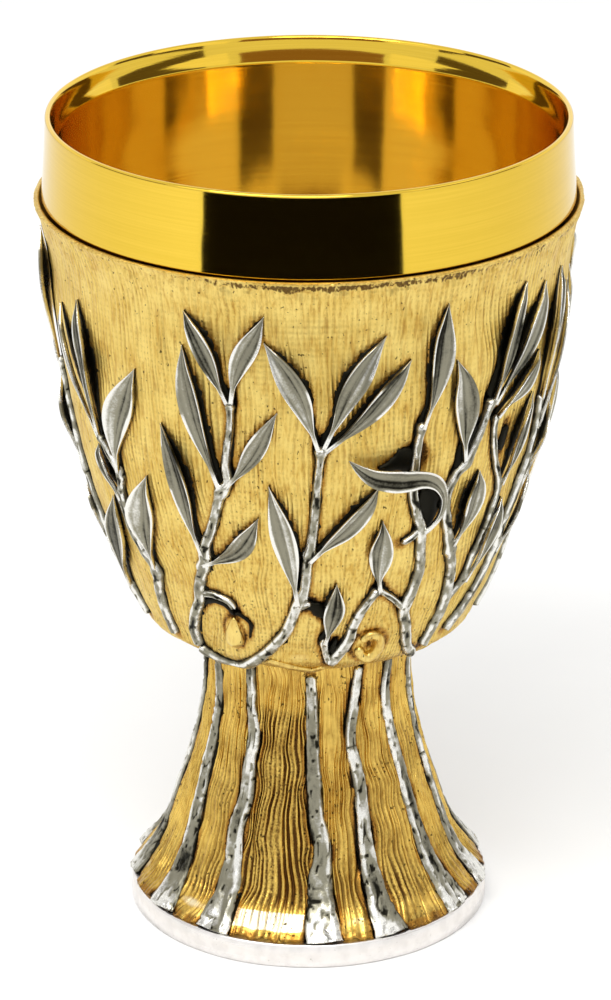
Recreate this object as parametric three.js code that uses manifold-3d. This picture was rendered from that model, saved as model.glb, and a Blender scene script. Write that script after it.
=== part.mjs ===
// A communion chalice: a polished cup set in a cast calyx with silver olive sprigs laid over it,
// on a flared cast foot with silver branches and a plain base ring. One tie rod clamps the stack.
// Millimetres, +Z up, origin at the centre of the underside, angle 0 at the front (-Y), growing towards +X.
import * as THREE from "three";
import { mergeVertices } from "three/addons/utils/BufferGeometryUtils.js";
import Module from "manifold-3d";

const wasm = await Module();
wasm.setup();

// Driving dimensions
const HEIGHT = 180;
const RIM_RADIUS = 55;
const LIP_RADIUS = 1.2;
const BAND_BOTTOM_Z = 162.4;
const BAND_BOTTOM_RADIUS = 56.05;
const JOINT_Z = 64; // the calyx sits on the foot here
const BASE_RADIUS = 39;
const BASE_RING_HEIGHT = 5.5;
const ROD_RADIUS = 4; // M8
const CLEARANCE = 0.3;
const LATHE_SEGMENTS = 36;
const SHELL_WALL = 2.2;
const CALYX_LIP_Z = 162.2;
const CALYX_LIP_RADIUS = 57.6;
const LINER_UNDERSIDE_Z = 73.3;
const LINER_FLOOR_Z = 74.5;
const THREAD_GAP = 0.1; // between a thread and its bore
const SEAT_GAP = 0.05; // between faces that rest on each other

// Outer profiles, [height, radius]
const CALYX_PROFILE = [
  [JOINT_Z, 22.6], [65.2, 27], [67, 31.6], [69.4, 34.9], [72.5, 36.4], [76, 38.1], [82, 40.6],
  [90, 43.4],
  [100, 46.6], [112, 49.4], [126, 51.9], [140, 53.8], [152, 54.9], [160, 56.7],
  [CALYX_LIP_Z, CALYX_LIP_RADIUS],
];
const FOOT_PROFILE = [
  [BASE_RING_HEIGHT, 38.5], [7, 37.3], [9, 35.6], [13, 32.6], [18, 30.2], [25, 27.9], [34, 25.2],
  [40, 23.6], [46, 22.5], [52, 21.8], [58, 21.7], [JOINT_Z, 22.2],
];

const GOLD = { color: 0xd9a520, metalness: 1, roughness: 0.12 };
const CAST_GOLD = { color: 0xc59a3c, metalness: 1, roughness: 0.42 };
const OLD_SILVER = { color: 0xb4b5ae, metalness: 1, roughness: 0.35 };
const BRIGHT_SILVER = { color: 0xe6e3e1, metalness: 1, roughness: 0.2 };
const BRASS = { color: 0xb8913f, metalness: 1, roughness: 0.3 };

const chalice = new THREE.Group();
chalice.name = "chalice";

function addPart(name, geometry, look) {
  const mesh = new THREE.Mesh(geometry, new THREE.MeshStandardMaterial(look));
  mesh.name = name;
  chalice.add(mesh);
}

// Radius at a height: a cubic through the profile's points, each slope taken from the point's neighbours.
function profileRadius(profile, z) {
  const last = profile.length - 1;
  let i = 0;
  while (i < last - 1 && z > profile[i + 1][0]) i++;
  const slope = (k) => {
    const [a, b] = [profile[Math.max(k - 1, 0)], profile[Math.min(k + 1, last)]];
    return (b[1] - a[1]) / (b[0] - a[0]);
  };
  const [[z0, r0], [z1, r1]] = [profile[i], profile[i + 1]];
  const span = z1 - z0;
  const t = Math.min(Math.max((z - z0) / span, 0), 1);
  const [t2, t3] = [t * t, t * t * t];
  return (
    r0 * (2 * t3 - 3 * t2 + 1) + r1 * (3 * t2 - 2 * t3) +
    span * (slope(i) * (t3 - 2 * t2 + t) + slope(i + 1) * (t3 - t2))
  );
}

// A point at an angle and height, lifted off the profile's surface along its normal.
function onSurface(profile, angle, z, lift) {
  const step = 0.5;
  const slope = (profileRadius(profile, z + step) - profileRadius(profile, z - step)) / (2 * step);
  const radius = profileRadius(profile, z) + lift / Math.hypot(1, slope);
  const a = THREE.MathUtils.degToRad(angle);
  return new THREE.Vector3(
    radius * Math.sin(a),
    -radius * Math.cos(a),
    z - (lift * slope) / Math.hypot(1, slope),
  );
}

// Turned pieces: the outline is a list of [radius, height].
function turned(outline) {
  const points = outline.map(([r, z]) => new THREE.Vector2(r, z));
  return new THREE.LatheGeometry(points, LATHE_SEGMENTS).rotateX(Math.PI / 2);
}

function turnedRing(outline) {
  return turned([...outline, outline[0]]);
}

// A closed solid through rings of points, with a fan from the middle of each end ring.
function sweptSolid(rings) {
  const sides = rings[0].length;
  const vertices = rings.flat();
  const middle = (ring) => ring.reduce((sum, p) => sum.add(p), new THREE.Vector3()).divideScalar(sides);
  vertices.push(middle(rings[0]), middle(rings[rings.length - 1]));
  const [startMiddle, endMiddle] = [vertices.length - 2, vertices.length - 1];
  const endRing = (rings.length - 1) * sides;
  const faces = [];
  for (let s = 0; s < sides; s++) {
    const next = (s + 1) % sides;
    for (let k = 0; k < endRing; k += sides) {
      faces.push(k + s, k + next, k + sides + next, k + s, k + sides + next, k + sides + s);
    }
    faces.push(startMiddle, next, s, endMiddle, endRing + s, endRing + next);
  }
  const volume = faces.reduce((sum, _, i) => {
    if (i % 3) return sum;
    const [a, b, c] = [vertices[faces[i]], vertices[faces[i + 1]], vertices[faces[i + 2]]];
    return sum + a.dot(new THREE.Vector3().crossVectors(b, c));
  }, 0);
  if (volume < 0) faces.reverse();
  return new THREE.BufferGeometry().setFromPoints(vertices).setIndex(faces);
}

function toManifold(geometry) {
  const merged = mergeVertices(geometry, 1e-4);
  return new wasm.Manifold(new wasm.Mesh({
    numProp: 3,
    vertProperties: merged.attributes.position.array,
    triVerts: new Uint32Array(merged.index.array),
  }));
}

function joined(geometries) {
  const whole = geometries.map(toManifold).reduce((sum, solid) => sum.add(solid));
  const mesh = whole.getMesh();
  return new THREE.BufferGeometry()
    .setAttribute("position", new THREE.BufferAttribute(mesh.vertProperties, 3))
    .setIndex(new THREE.BufferAttribute(mesh.triVerts, 1));
}

// A branch lying on a surface: an oval section that swells from the first width to the last.
const BRANCH_SIDES = 5;

function branchSolid(profile, route, startWidth, endWidth, flatness = 0.8) {
  const curve = new THREE.CatmullRomCurve3(route.map(([angle, z]) => new THREE.Vector3(angle, z, 0)));
  const steps = Math.max(3, route.length - 1);
  const rings = [];
  for (let k = 0; k <= steps; k++) {
    const t = k / steps;
    const { x: angle, y: z } = curve.getPoint(t);
    const half = THREE.MathUtils.lerp(startWidth, endWidth, t) / 2;
    const centre = onSurface(profile, angle, z, CLEARANCE + half * flatness);
    const ahead = curve.getTangent(t);
    const along = onSurface(profile, angle + ahead.x * 0.1, z + ahead.y * 0.1, CLEARANCE + half * flatness)
      .sub(centre).normalize();
    const out = onSurface(profile, angle, z, 5).sub(onSurface(profile, angle, z, 0)).normalize();
    const across = new THREE.Vector3().crossVectors(out, along).normalize();
    const ring = [];
    for (let s = 0; s < BRANCH_SIDES; s++) {
      const turn = (2 * Math.PI * (s + 0.5)) / BRANCH_SIDES;
      ring.push(centre.clone()
        .addScaledVector(across, half * Math.cos(turn))
        .addScaledVector(out, half * flatness * Math.sin(turn)));
    }
    rings.push(ring);
  }
  return sweptSolid(rings);
}

// A leaf blade over a route of [angle, height, lift]: a narrow stalk, a full middle and a pointed tip.
const LEAF_STATIONS = 5; // a longer route has a station for each of its points
const LEAF_THICKNESS = 1.3;
const LEAF_EDGE_RISE = 0.35; // the edges' share of the thickness
const STALK_SHARE = 0.16; // of the leaf's length
const [STALK_HALF_WIDTH, TIP_HALF_WIDTH] = [0.45, 0.12];

function leafHalfWidth(t, width) {
  const blade = Math.min(Math.max((t - STALK_SHARE) / (1 - STALK_SHARE), 0), 1);
  const least = t > 0.7 ? TIP_HALF_WIDTH : STALK_HALF_WIDTH;
  return Math.max((width / 2) * Math.sin(Math.PI * blade ** 0.85) ** 0.8, least);
}

function leafSolid(profile, route, width) {
  const points = route.map(([angle, z, lift]) => new THREE.Vector3(angle, z, lift));
  const curve = new THREE.CatmullRomCurve3(points);
  const stations = Math.max(LEAF_STATIONS, route.length);
  const rings = [];
  for (let k = 0; k <= stations; k++) {
    const t = k / stations;
    const at = curve.getPoint(t);
    const ahead = curve.getTangent(t);
    const radius = profileRadius(profile, at.y);
    const side = new THREE.Vector2(ahead.y, -THREE.MathUtils.degToRad(ahead.x) * radius).normalize();
    const half = leafHalfWidth(t, width);
    const beside = (share, lift) => onSurface(
      profile,
      at.x + THREE.MathUtils.radToDeg((side.x * half * share) / radius),
      at.y + side.y * half * share,
      CLEARANCE + at.z + lift * LEAF_THICKNESS,
    );
    rings.push([beside(-1, LEAF_EDGE_RISE), beside(0, 0), beside(1, LEAF_EDGE_RISE), beside(0, 1)]);
  }
  return sweptSolid(rings);
}

// A plain leaf from its stalk to its tip, bowed sideways by so many millimetres at the middle.
function leafRoute([angle0, z0, angle1, z1, , bow = 0, lift = 0.2]) {
  const radius = profileRadius(CALYX_PROFILE, (z0 + z1) / 2);
  const run = new THREE.Vector2(THREE.MathUtils.degToRad(angle1 - angle0) * radius, z1 - z0).normalize();
  const middle = [
    (angle0 + angle1) / 2 + THREE.MathUtils.radToDeg((run.y * bow) / radius),
    (z0 + z1) / 2 - run.x * bow,
    lift,
  ];
  return [[angle0, z0, 0.3], middle, [angle1, z1, lift]];
}

// Sprigs on the calyx. A stem is a route of [angle, height]; a leaf is
// [stalk angle, stalk height, tip angle, tip height, width, bow, lift]; a folded leaf has its own route.
const SPRIGS = {
  sprig_far_left: {
    stems: [[[-70, 71.6], [-72, 78.6], [-76, 88.6], [-80, 100.6], [-82, 112.6], [-82, 128.6]]],
    leaves: [
      [-82, 127.6, -84, 157.1, 6, 0.6], [-80.5, 103.6, -90, 124.6, 5.4, -0.8],
      [-71, 78.1, -58.2, 104.2, 5.2, 1],
      [-75, 86.6, -86, 100.6, 4.6, -0.6],
    ],
  },
  sprig_left: {
    stems: [
      [[-51, 71.6], [-50.5, 76.6], [-49.5, 82.6], [-47.5, 89.1], [-51, 93.6], [-53, 98.6],
        [-53.5, 105.1], [-52, 111.1],
        [-55, 114.6], [-58, 118.6]],
    ],
    leaves: [
      [-47, 89.4, -42, 113.3, 6, -0.8], [-52, 111.2, -41.2, 138.1, 6.2, -1.4],
      [-53.4, 104.6, -59.8, 115.9, 4.4, -0.5], [-57.9, 118.1, -70.5, 144.4, 5.6, -0.8],
      [-57.6, 118.4, -60.5, 148.1, 6, 0.8],
    ],
  },
  sprig_mid_left: {
    stems: [
      [[-40, 71.1], [-39, 75.6], [-36, 80.6], [-33, 84.6], [-32, 88.1], [-28.7, 94.6],
        [-27, 99.6], [-24, 105.6],
        [-21.5, 112.6], [-19.2, 116.1], [-19.3, 120.6], [-17.8, 128.6], [-17.4, 134.6]],
      [[-33, 84.6], [-29, 85.4], [-25.5, 83.6]],
    ],
    leaves: [
      [-28.2, 97.1, -35.3, 127.1, 5.4, 0.6], [-28.8, 94.6, -12.2, 107.2, 4.8, 2.2],
      [-20, 114.6, -7, 132.6, 4.4, 0.8],
      [-21, 114.1, -28, 146.1, 5.3, -1], [-17.8, 134.6, -27, 154, 4.8, 0.4],
      [-17, 134.6, -9.4, 154.6, 4.6, -1],
    ],
  },
  sprig_centre: {
    stems: [
      [[-32, 68.2], [-26, 67.8], [-19, 69.8], [-13, 73.6], [-7, 79.1], [-3.7, 85.5], [-1.2, 90.6],
        [-0.5, 96.6], [0.6, 102.6], [1.3, 108.6], [1.8, 115.6], [2.4, 121.6], [2.8, 125.6]],
    ],
    leaves: [
      [-3, 86.6, -9.4, 116.1, 5, 0.8, 1.3], [0, 98.1, 16.4, 113.6, 4.8, 0.8],
      [2.2, 124.4, -9.6, 148.6, 5.2, 1.6, 0.6],
      [3, 125, 16.4, 149.8, 4.9, -1.4], [3.4, 124.6, 22.2, 143.8, 4.6, 1],
    ],
  },
  sprig_low_right: {
    stems: [[[6.8, 70], [10, 73.2], [12.6, 77.2], [13.3, 80.7], [15.5, 84.8], [18.8, 89.7]]],
    leaves: [[19.2, 89, 18, 107, 4.2, -0.7], [6.9, 70.5, 6, 92, 4.4, 0.6]],
  },
  sprig_folded_leaf: {
    stems: [
      [[38, 69.2], [34.2, 72.1], [30.8, 78.3], [28.8, 82.7], [30, 87.6], [30.8, 93.1],
        [29.7, 98.1], [28.8, 103.6],
        [27, 107.2], [25.2, 113], [25, 118.6], [25.3, 124.6], [26, 129.1]],
      [[28.8, 82.7], [26, 85], [23.6, 87]],
      [[28.8, 103.6], [27.4, 102.2], [26.2, 101.6]],
    ],
    leaves: [[25.8, 127.6, 30.2, 155.1, 5.6, 0.6]],
    // Rises from the stem, turns over at the right and lies back across the stem
    foldedLeaf: {
      route: [[28.6, 102.3, 0.3], [30.4, 103.5, 0.6], [32.2, 105.9, 1.1], [32.6, 108.9, 1.7],
        [31.8, 112.2, 2.3],
        [29.2, 115.1, 2.8], [25.8, 116.6, 3], [20.2, 116.8, 2.8], [15, 118.1, 2.3], [11.5, 120.3, 1.6],
        [8.8, 122.6, 1.1]],
      width: 4.4,
    },
  },
  sprig_right: {
    stems: [
      [[41.5, 70.6], [43, 76.1], [44, 81.5], [43.2, 88.6], [40, 96.6], [37.6, 103.4],
        [36.2, 109.4], [37.6, 114.2],
        [39.8, 117.5], [42, 122.2], [43.5, 126.4], [45, 130.6]],
      [[44, 81.5], [49.5, 86.3], [50.3, 91.7], [52.2, 96.6], [53.2, 102.3], [53.8, 108], [50, 114.8],
        [47.8, 121.2], [47.4, 126]],
    ],
    leaves: [
      [38.9, 117.2, 33.5, 141.8, 5.2, 0.5], [45.2, 129.6, 52.8, 154.6, 5, -0.8],
      [45.6, 128.8, 61.5, 152.2, 5.4, 0.9],
      [47.4, 125.6, 62.2, 136.6, 4.4, 0.6], [53.8, 107.8, 62.2, 127, 4.4, -0.6],
      [39.9, 97.2, 44.4, 114, 5.4, 0.8],
      [49.4, 85.8, 56.8, 104.2, 4.2, 0.5],
    ],
  },
  sprig_right_edge: {
    stems: [
      [[51, 72.6], [56, 77.6], [60, 83.1], [62.5, 89.6], [62.5, 96.9], [64.8, 104.5], [68, 111.1],
        [69, 117.6], [67.5, 124.6]],
    ],
    leaves: [
      [67.6, 123.6, 70.5, 152.6, 5.6, -0.6], [68.8, 116.6, 79, 146.6, 5.6, 0.6],
      [65.2, 104.4, 76, 122.6, 5, 0.6],
      [62.4, 89.6, 71.5, 106.6, 4.8, 0.6],
    ],
  },
};

// The back of the calyx repeats three of the sprigs further round.
const BACK_SPRIGS = {
  sprig_back_1: ["sprig_mid_left", 119],
  sprig_back_2: ["sprig_centre", 136],
  sprig_back_3: ["sprig_left", 232],
  sprig_back_4: ["sprig_mid_left", 232],
  sprig_back_5: ["sprig_centre", 247],
};

const STEM_WIDTH_LOW = 2.8;
const STEM_WIDTH_HIGH = 1.9;

function turnedSprig({ stems, leaves }, by) {
  return {
    stems: stems.map((stem) => stem.map(([angle, z]) => [angle + by, z])),
    leaves: leaves.map(([angle0, z0, angle1, ...rest]) => [angle0 + by, z0, angle1 + by, ...rest]),
  };
}

function sprigSolid({ stems, leaves, foldedLeaf }) {
  const pieces = [
    ...stems.map((stem) => branchSolid(CALYX_PROFILE, stem, STEM_WIDTH_LOW, STEM_WIDTH_HIGH)),
    ...leaves.map((leaf) => leafSolid(CALYX_PROFILE, leafRoute(leaf), leaf[4])),
  ];
  if (foldedLeaf) pieces.push(leafSolid(CALYX_PROFILE, foldedLeaf.route, foldedLeaf.width));
  return joined(pieces);
}

// Branches down the foot, from the joint to the base ring, as routes of [angle, height].
const FOOT_BRANCHES = [
  [[-84, 62], [-86, 50], [-89, 40], [-91, 30], [-92, 22], [-90, 14], [-87, 8.5], [-85, 6.4]],
  [[-62, 62.5], [-59, 54], [-60, 45], [-61, 36], [-60, 28], [-59, 20], [-58, 12], [-57, 6.6]],
  [[-33.5, 62.5], [-34, 54], [-31, 47], [-32, 40], [-31.5, 33], [-34, 26], [-33, 19], [-31.5, 12],
    [-31, 6.6]],
  [[1, 61.5], [1.5, 52], [2, 44], [2.5, 37], [3.5, 30], [5.5, 24], [4.5, 17], [4.5, 11], [5, 6.6]],
  [[28, 62.5], [26, 54], [22.5, 45.5], [25.5, 38], [25.5, 30], [25, 22], [26, 15], [28, 6.6]],
  [[50, 62.5], [47.5, 54], [49, 46], [52, 38], [53, 31], [54, 23], [56.5, 14], [59, 6.8]],
  [[76, 62.5], [75, 54], [76, 44], [78, 35], [78, 26], [79, 18], [80, 10], [81, 6.6]],
];
// The back of the foot repeats them: [branch, turned by].
const BACK_FOOT_BRANCHES = [[2, 140], [3, 132], [1, 223], [4, 164], [2, 250], [5, 193]];
const FOOT_BRANCH_TOP_WIDTH = 2.2;
const FOOT_BRANCH_BASE_WIDTH = 4.6;
const FOOT_BRANCH_FLATNESS = 0.55;

function samples(from, to, count) {
  return Array.from({ length: count + 1 }, (_, k) => from + ((to - from) * k) / count);
}

const BOSS_RADIUS = 12;
// The liner below its band, from the boss up: [radius, height]. Its inside runs from the rim down.
const LINER_OUTSIDE = [
  [21, 75.2], [28, 79], [33.4, 84.5], [37.6, 91.5], [41.4, 100], [45.2, 112], [48.2, 126], [50.2, 140],
  [51.6, 152], [53.2, 159], [54.3, 161.4],
];
const LINER_INSIDE = [
  [52.3, 175], [52, 165], [51.2, 158], [50.3, 150], [49, 140], [47, 126], [44, 112], [40.2, 100],
  [36.5, 91.9], [32.5, 85.4], [27.2, 80.1], [20.5, 76.4],
];

function linerCup() {
  const lipZ = HEIGHT - LIP_RADIUS;
  const lipMiddle = RIM_RADIUS - LIP_RADIUS;
  const lip = samples(0, Math.PI, 4).map((turn) => [
    lipMiddle + LIP_RADIUS * Math.cos(turn),
    lipZ + LIP_RADIUS * Math.sin(turn),
  ]);
  const outside = [
    [0, LINER_UNDERSIDE_Z], [BOSS_RADIUS, LINER_UNDERSIDE_Z], ...LINER_OUTSIDE,
    [BAND_BOTTOM_RADIUS, BAND_BOTTOM_Z],
  ];
  const inside = [...LINER_INSIDE, [BOSS_RADIUS, LINER_FLOOR_Z + 0.1], [0, LINER_FLOOR_Z]];
  return turned([...outside, ...lip, ...inside]);
}

const ROD_HOLE_RADIUS = ROD_RADIUS + CLEARANCE;
const SPIGOT_RADIUS = 12; // centres the calyx on the foot
const SPIGOT_HEIGHT = 2;
const CALYX_FLOOR_Z = 68.3;
const LIP_THICKNESS = 1.1;
const CALYX_FLOOR_RADIUS = 30.5; // where the floor inside starts to turn up into the wall

function calyxBowl() {
  const outside = samples(JOINT_Z, 72.5, 5).concat(samples(76, 152, 9), [157, 160, CALYX_LIP_Z])
    .map((z) => [profileRadius(CALYX_PROFILE, z), z]);
  const lipInside = CALYX_LIP_RADIUS - LIP_THICKNESS;
  const inside = [
    [lipInside, CALYX_LIP_Z], [lipInside - 0.2, CALYX_LIP_Z - 1], [lipInside - 1.8, CALYX_LIP_Z - 2.6],
    ...samples(152, 76, 7).map((z) => [profileRadius(CALYX_PROFILE, z) - SHELL_WALL, z]),
    [CALYX_FLOOR_RADIUS + 2.5, CALYX_FLOOR_Z + 2.1], [CALYX_FLOOR_RADIUS, CALYX_FLOOR_Z],
    [ROD_HOLE_RADIUS, CALYX_FLOOR_Z],
  ];
  const recess = JOINT_Z + SPIGOT_HEIGHT + CLEARANCE;
  const underside = [
    [ROD_HOLE_RADIUS, recess], [SPIGOT_RADIUS + CLEARANCE, recess],
    [SPIGOT_RADIUS + CLEARANCE, JOINT_Z],
  ];
  return turnedRing([...outside, ...inside, ...underside]);
}

const WEB_UNDERSIDE_Z = 60; // the nut and washer pull up on this web inside the foot
const RING_LIP_HEIGHT = 1.2;
const [RING_INNER_RADIUS, RING_LIP_RADIUS] = [33.4, 34.2];
// The hollow of the foot from the web down: [radius, height].
const FOOT_INSIDE = [
  [19, WEB_UNDERSIDE_Z], [19.1, 54], [19.9, 46], [21, 40], [22.6, 34], [25.3, 25], [27.6, 18], [30, 13],
  [33, 9], [35.6, BASE_RING_HEIGHT],
];

function foot() {
  const seat = JOINT_Z - SEAT_GAP;
  const outside = FOOT_PROFILE.map(([z, r]) => [r, Math.min(z, seat)]);
  const top = [
    [SPIGOT_RADIUS, seat], [SPIGOT_RADIUS, seat + SPIGOT_HEIGHT],
    [ROD_HOLE_RADIUS, seat + SPIGOT_HEIGHT],
    [ROD_HOLE_RADIUS, WEB_UNDERSIDE_Z],
  ];
  return turnedRing([...outside, ...top, ...FOOT_INSIDE]);
}

function baseRing() {
  const top = BASE_RING_HEIGHT - SEAT_GAP;
  const chamfer = 0.4;
  return turnedRing([
    [RING_INNER_RADIUS, 0], [BASE_RADIUS - chamfer, 0], [BASE_RADIUS, chamfer],
    [BASE_RADIUS, top - chamfer], [BASE_RADIUS - chamfer, top], [RING_LIP_RADIUS, top], [RING_LIP_RADIUS, top + RING_LIP_HEIGHT],
    [RING_INNER_RADIUS, top + RING_LIP_HEIGHT],
  ]);
}

const [ROD_BOTTOM_Z, ROD_TOP_Z, ROD_POINT] = [48, 72.5, 0.6];

function tieRod() {
  return turned([
    [0, ROD_BOTTOM_Z], [ROD_RADIUS - ROD_POINT, ROD_BOTTOM_Z], [ROD_RADIUS, ROD_BOTTOM_Z + ROD_POINT],
    [ROD_RADIUS, ROD_TOP_Z], [0, ROD_TOP_Z],
  ]);
}

// Brazed under the cup, with a blind bore that takes the rod's upper end.
function cupBoss() {
  const [bottom, top] = [CALYX_FLOOR_Z + SEAT_GAP, LINER_UNDERSIDE_Z - 2 * SEAT_GAP];
  const [bore, boreTop] = [ROD_RADIUS + THREAD_GAP, ROD_TOP_Z + THREAD_GAP];
  return turned([
    [0, boreTop], [bore, boreTop], [bore, bottom], [BOSS_RADIUS, bottom], [BOSS_RADIUS, top], [0, top],
  ]);
}

const WASHER_RADIUS = 10;
const WASHER_BOTTOM_Z = 58.3;

function rodWasher() {
  const top = WEB_UNDERSIDE_Z - SEAT_GAP;
  return turnedRing([
    [ROD_HOLE_RADIUS, WASHER_BOTTOM_Z], [WASHER_RADIUS, WASHER_BOTTOM_Z], [WASHER_RADIUS, top],
    [ROD_HOLE_RADIUS, top],
  ]);
}

const NUT_ACROSS_FLATS = 13;
const NUT_THICKNESS = 6.5;

function rodNut() {
  const corner = NUT_ACROSS_FLATS / 2 / Math.cos(Math.PI / 6);
  const hexagon = new THREE.Shape(samples(0, 5, 5).map((k) => (
    new THREE.Vector2(corner * Math.cos((k * Math.PI) / 3), corner * Math.sin((k * Math.PI) / 3))
  )));
  hexagon.holes.push(new THREE.Path().absarc(0, 0, ROD_RADIUS + THREAD_GAP, 0, 2 * Math.PI, true));
  return new THREE.ExtrudeGeometry(hexagon, { depth: NUT_THICKNESS, bevelEnabled: false, curveSegments: 24 })
    .translate(0, 0, WASHER_BOTTOM_Z - SEAT_GAP - NUT_THICKNESS);
}

addPart("liner_cup", linerCup(), GOLD);
addPart("cup_boss", cupBoss(), BRASS);
addPart("tie_rod", tieRod(), BRASS);
addPart("rod_washer", rodWasher(), BRASS);
addPart("rod_nut", rodNut(), BRASS);
addPart("calyx_bowl", calyxBowl(), CAST_GOLD);
addPart("foot", foot(), CAST_GOLD);
addPart("base_ring", baseRing(), BRIGHT_SILVER);

for (const [name, sprig] of Object.entries(SPRIGS)) addPart(name, sprigSolid(sprig), OLD_SILVER);
for (const [name, [source, by]] of Object.entries(BACK_SPRIGS)) {
  addPart(name, sprigSolid(turnedSprig(SPRIGS[source], by)), OLD_SILVER);
}

const footBranches = [
  ...FOOT_BRANCHES,
  ...BACK_FOOT_BRANCHES.map(([branch, by]) => FOOT_BRANCHES[branch].map(([angle, z]) => [angle + by, z])),
];
footBranches.forEach((route, k) => {
  const widths = [FOOT_BRANCH_TOP_WIDTH, FOOT_BRANCH_BASE_WIDTH];
  const solid = branchSolid(FOOT_PROFILE, route, ...widths, FOOT_BRANCH_FLATNESS);
  addPart(`foot_branch_${String(k + 1).padStart(2, "0")}`, solid, OLD_SILVER);
});

export default chalice;
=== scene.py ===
"""A communion chalice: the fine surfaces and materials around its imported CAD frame.

Lengths are in millimetres until a mesh is made. Angles round the axis are in degrees, 0 at the front (-Y), growing
towards +X. A place on a turned surface is (angle, height), or (angle, height, lift off the surface).
"""

import math

import bpy
import numpy as np
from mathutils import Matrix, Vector


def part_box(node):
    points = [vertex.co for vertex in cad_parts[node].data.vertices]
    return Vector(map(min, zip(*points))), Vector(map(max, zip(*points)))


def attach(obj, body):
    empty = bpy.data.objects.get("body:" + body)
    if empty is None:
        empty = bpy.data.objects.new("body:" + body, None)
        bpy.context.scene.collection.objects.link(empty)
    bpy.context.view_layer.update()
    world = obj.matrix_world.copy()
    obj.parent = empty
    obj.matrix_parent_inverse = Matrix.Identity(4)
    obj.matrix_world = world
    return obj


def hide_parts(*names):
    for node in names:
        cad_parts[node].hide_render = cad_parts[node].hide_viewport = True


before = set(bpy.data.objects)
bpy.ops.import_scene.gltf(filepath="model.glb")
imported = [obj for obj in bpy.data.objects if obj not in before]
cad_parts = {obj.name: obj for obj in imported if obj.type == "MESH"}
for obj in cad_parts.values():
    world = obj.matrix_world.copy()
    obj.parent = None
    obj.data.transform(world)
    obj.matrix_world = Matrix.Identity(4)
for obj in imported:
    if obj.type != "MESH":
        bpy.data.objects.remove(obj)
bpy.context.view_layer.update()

MM = 0.001


def node_box(node):
    """The lowest and highest corners of a CAD node, in millimetres."""
    low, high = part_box(node)
    return np.array(low) / MM, np.array(high) / MM


# ---- sizes, from the frame

(_, _, LINER_BOTTOM_Z), (BAND_RADIUS, _, HEIGHT) = node_box("liner_cup")
(_, _, JOINT_Z), (CALYX_LIP_RADIUS, _, CALYX_LIP_Z) = node_box("calyx_bowl")
BASE_RADIUS = node_box("base_ring")[1][0]
FOOT_BOTTOM_Z = node_box("foot")[0][2]
ROD_RADIUS = node_box("tie_rod")[1][0]

HOLE_RADIUS = ROD_RADIUS + 0.3
RIM_RADIUS = BAND_RADIUS - 1.05
BAND_BOTTOM_Z = 162.4
CALYX_WALL, FOOT_WALL = 2.2, 2.7
MM_PER_DEGREE = 0.85  # roughly, round the calyx

# Outer profiles under the relief, (height, radius), as in the CAD
CALYX_PROFILE = (
    (JOINT_Z, 22.6), (65.2, 27), (67, 31.6), (69.4, 34.9), (72.5, 36.4), (76, 38.1), (82, 40.6), (90, 43.4),
    (100, 46.6), (112, 49.4), (126, 51.9), (140, 53.8), (152, 54.9), (160, 56.7), (CALYX_LIP_Z, CALYX_LIP_RADIUS),
)
FOOT_PROFILE = (
    (FOOT_BOTTOM_Z, 38.5), (7, 37.3), (9, 35.6), (13, 32.6), (18, 30.2), (25, 27.9), (34, 25.2),
    (40, 23.6), (46, 22.5), (52, 21.8), (58, 21.7), (JOINT_Z, 22.2),
)


# ---- curves, surfaces and noise

def cubic(xs, ys, x):
    """A cubic through points, its slope at each taken from the neighbours. The ends run on straight."""
    xs, ys = np.asarray(xs, float), np.asarray(ys, float)
    ahead = np.minimum(np.arange(len(xs)) + 1, len(xs) - 1)
    behind = np.maximum(np.arange(len(xs)) - 1, 0)
    slopes = (ys[ahead] - ys[behind]) / (xs[ahead] - xs[behind])
    x = np.asarray(x, float)
    i = np.clip(np.searchsorted(xs, x) - 1, 0, len(xs) - 2)
    span = xs[i + 1] - xs[i]
    t = np.clip((x - xs[i]) / span, 0, 1)
    smooth = t * t * (3 - 2 * t)
    bends = slopes[i] * t * (1 - t) ** 2 - slopes[i + 1] * t * t * (1 - t)
    return ys[i] * (1 - smooth) + ys[i + 1] * smooth + span * bends


def polar(radius, angle, z):
    """Points at a radius and an angle round the axis."""
    a = np.radians(angle)
    return np.stack(np.broadcast_arrays(radius * np.sin(a), -radius * np.cos(a), z), -1)


def circle(segments):
    """The angles of so many even steps round the axis."""
    return np.linspace(0, 360, segments, endpoint=False)


def half_turn(angle):
    """The same angle, from -180 up to 180."""
    return (angle + 180) % 360 - 180


class Surface:
    """A turned surface. `arc` is the distance along its outline, from the bottom."""

    def __init__(self, profile):
        self.heights, self.radii = np.array(profile, float).T
        self.z_fine = np.linspace(self.heights[0], self.heights[-1], 1500)
        r_fine = self.radius(self.z_fine)
        steps = np.hypot(np.diff(self.z_fine), np.diff(r_fine))
        self.arc_fine = np.concatenate(([0.0], np.cumsum(steps)))
        self.length = self.arc_fine[-1]

    def radius(self, z):
        return cubic(self.heights, self.radii, z)

    def arc(self, z):
        return np.interp(z, self.z_fine, self.arc_fine)

    def height_at(self, arc):
        return np.interp(arc, self.arc_fine, self.z_fine)

    def normal(self, z):
        """The outward normal's (radial, upward) parts."""
        step = 0.2
        z = np.clip(z, self.z_fine[0] + step, self.z_fine[-1] - step)
        slope = (self.radius(z + step) - self.radius(z - step)) / (2 * step)
        return 1 / np.hypot(1, slope), -slope / np.hypot(1, slope)

    def point(self, angle, z, lift=0.0):
        out, up = self.normal(z)
        return polar(self.radius(z) + lift * out, angle, z + lift * up)

    def distances(self, line):
        """How far along a line of (angle, height) rows each of them lies."""
        points = self.point(line[:, 0], line[:, 1])
        return np.concatenate(([0.0], np.cumsum(np.linalg.norm(np.diff(points, axis=0), axis=1))))


CALYX = Surface(CALYX_PROFILE)
FOOT = Surface(FOOT_PROFILE)


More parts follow.
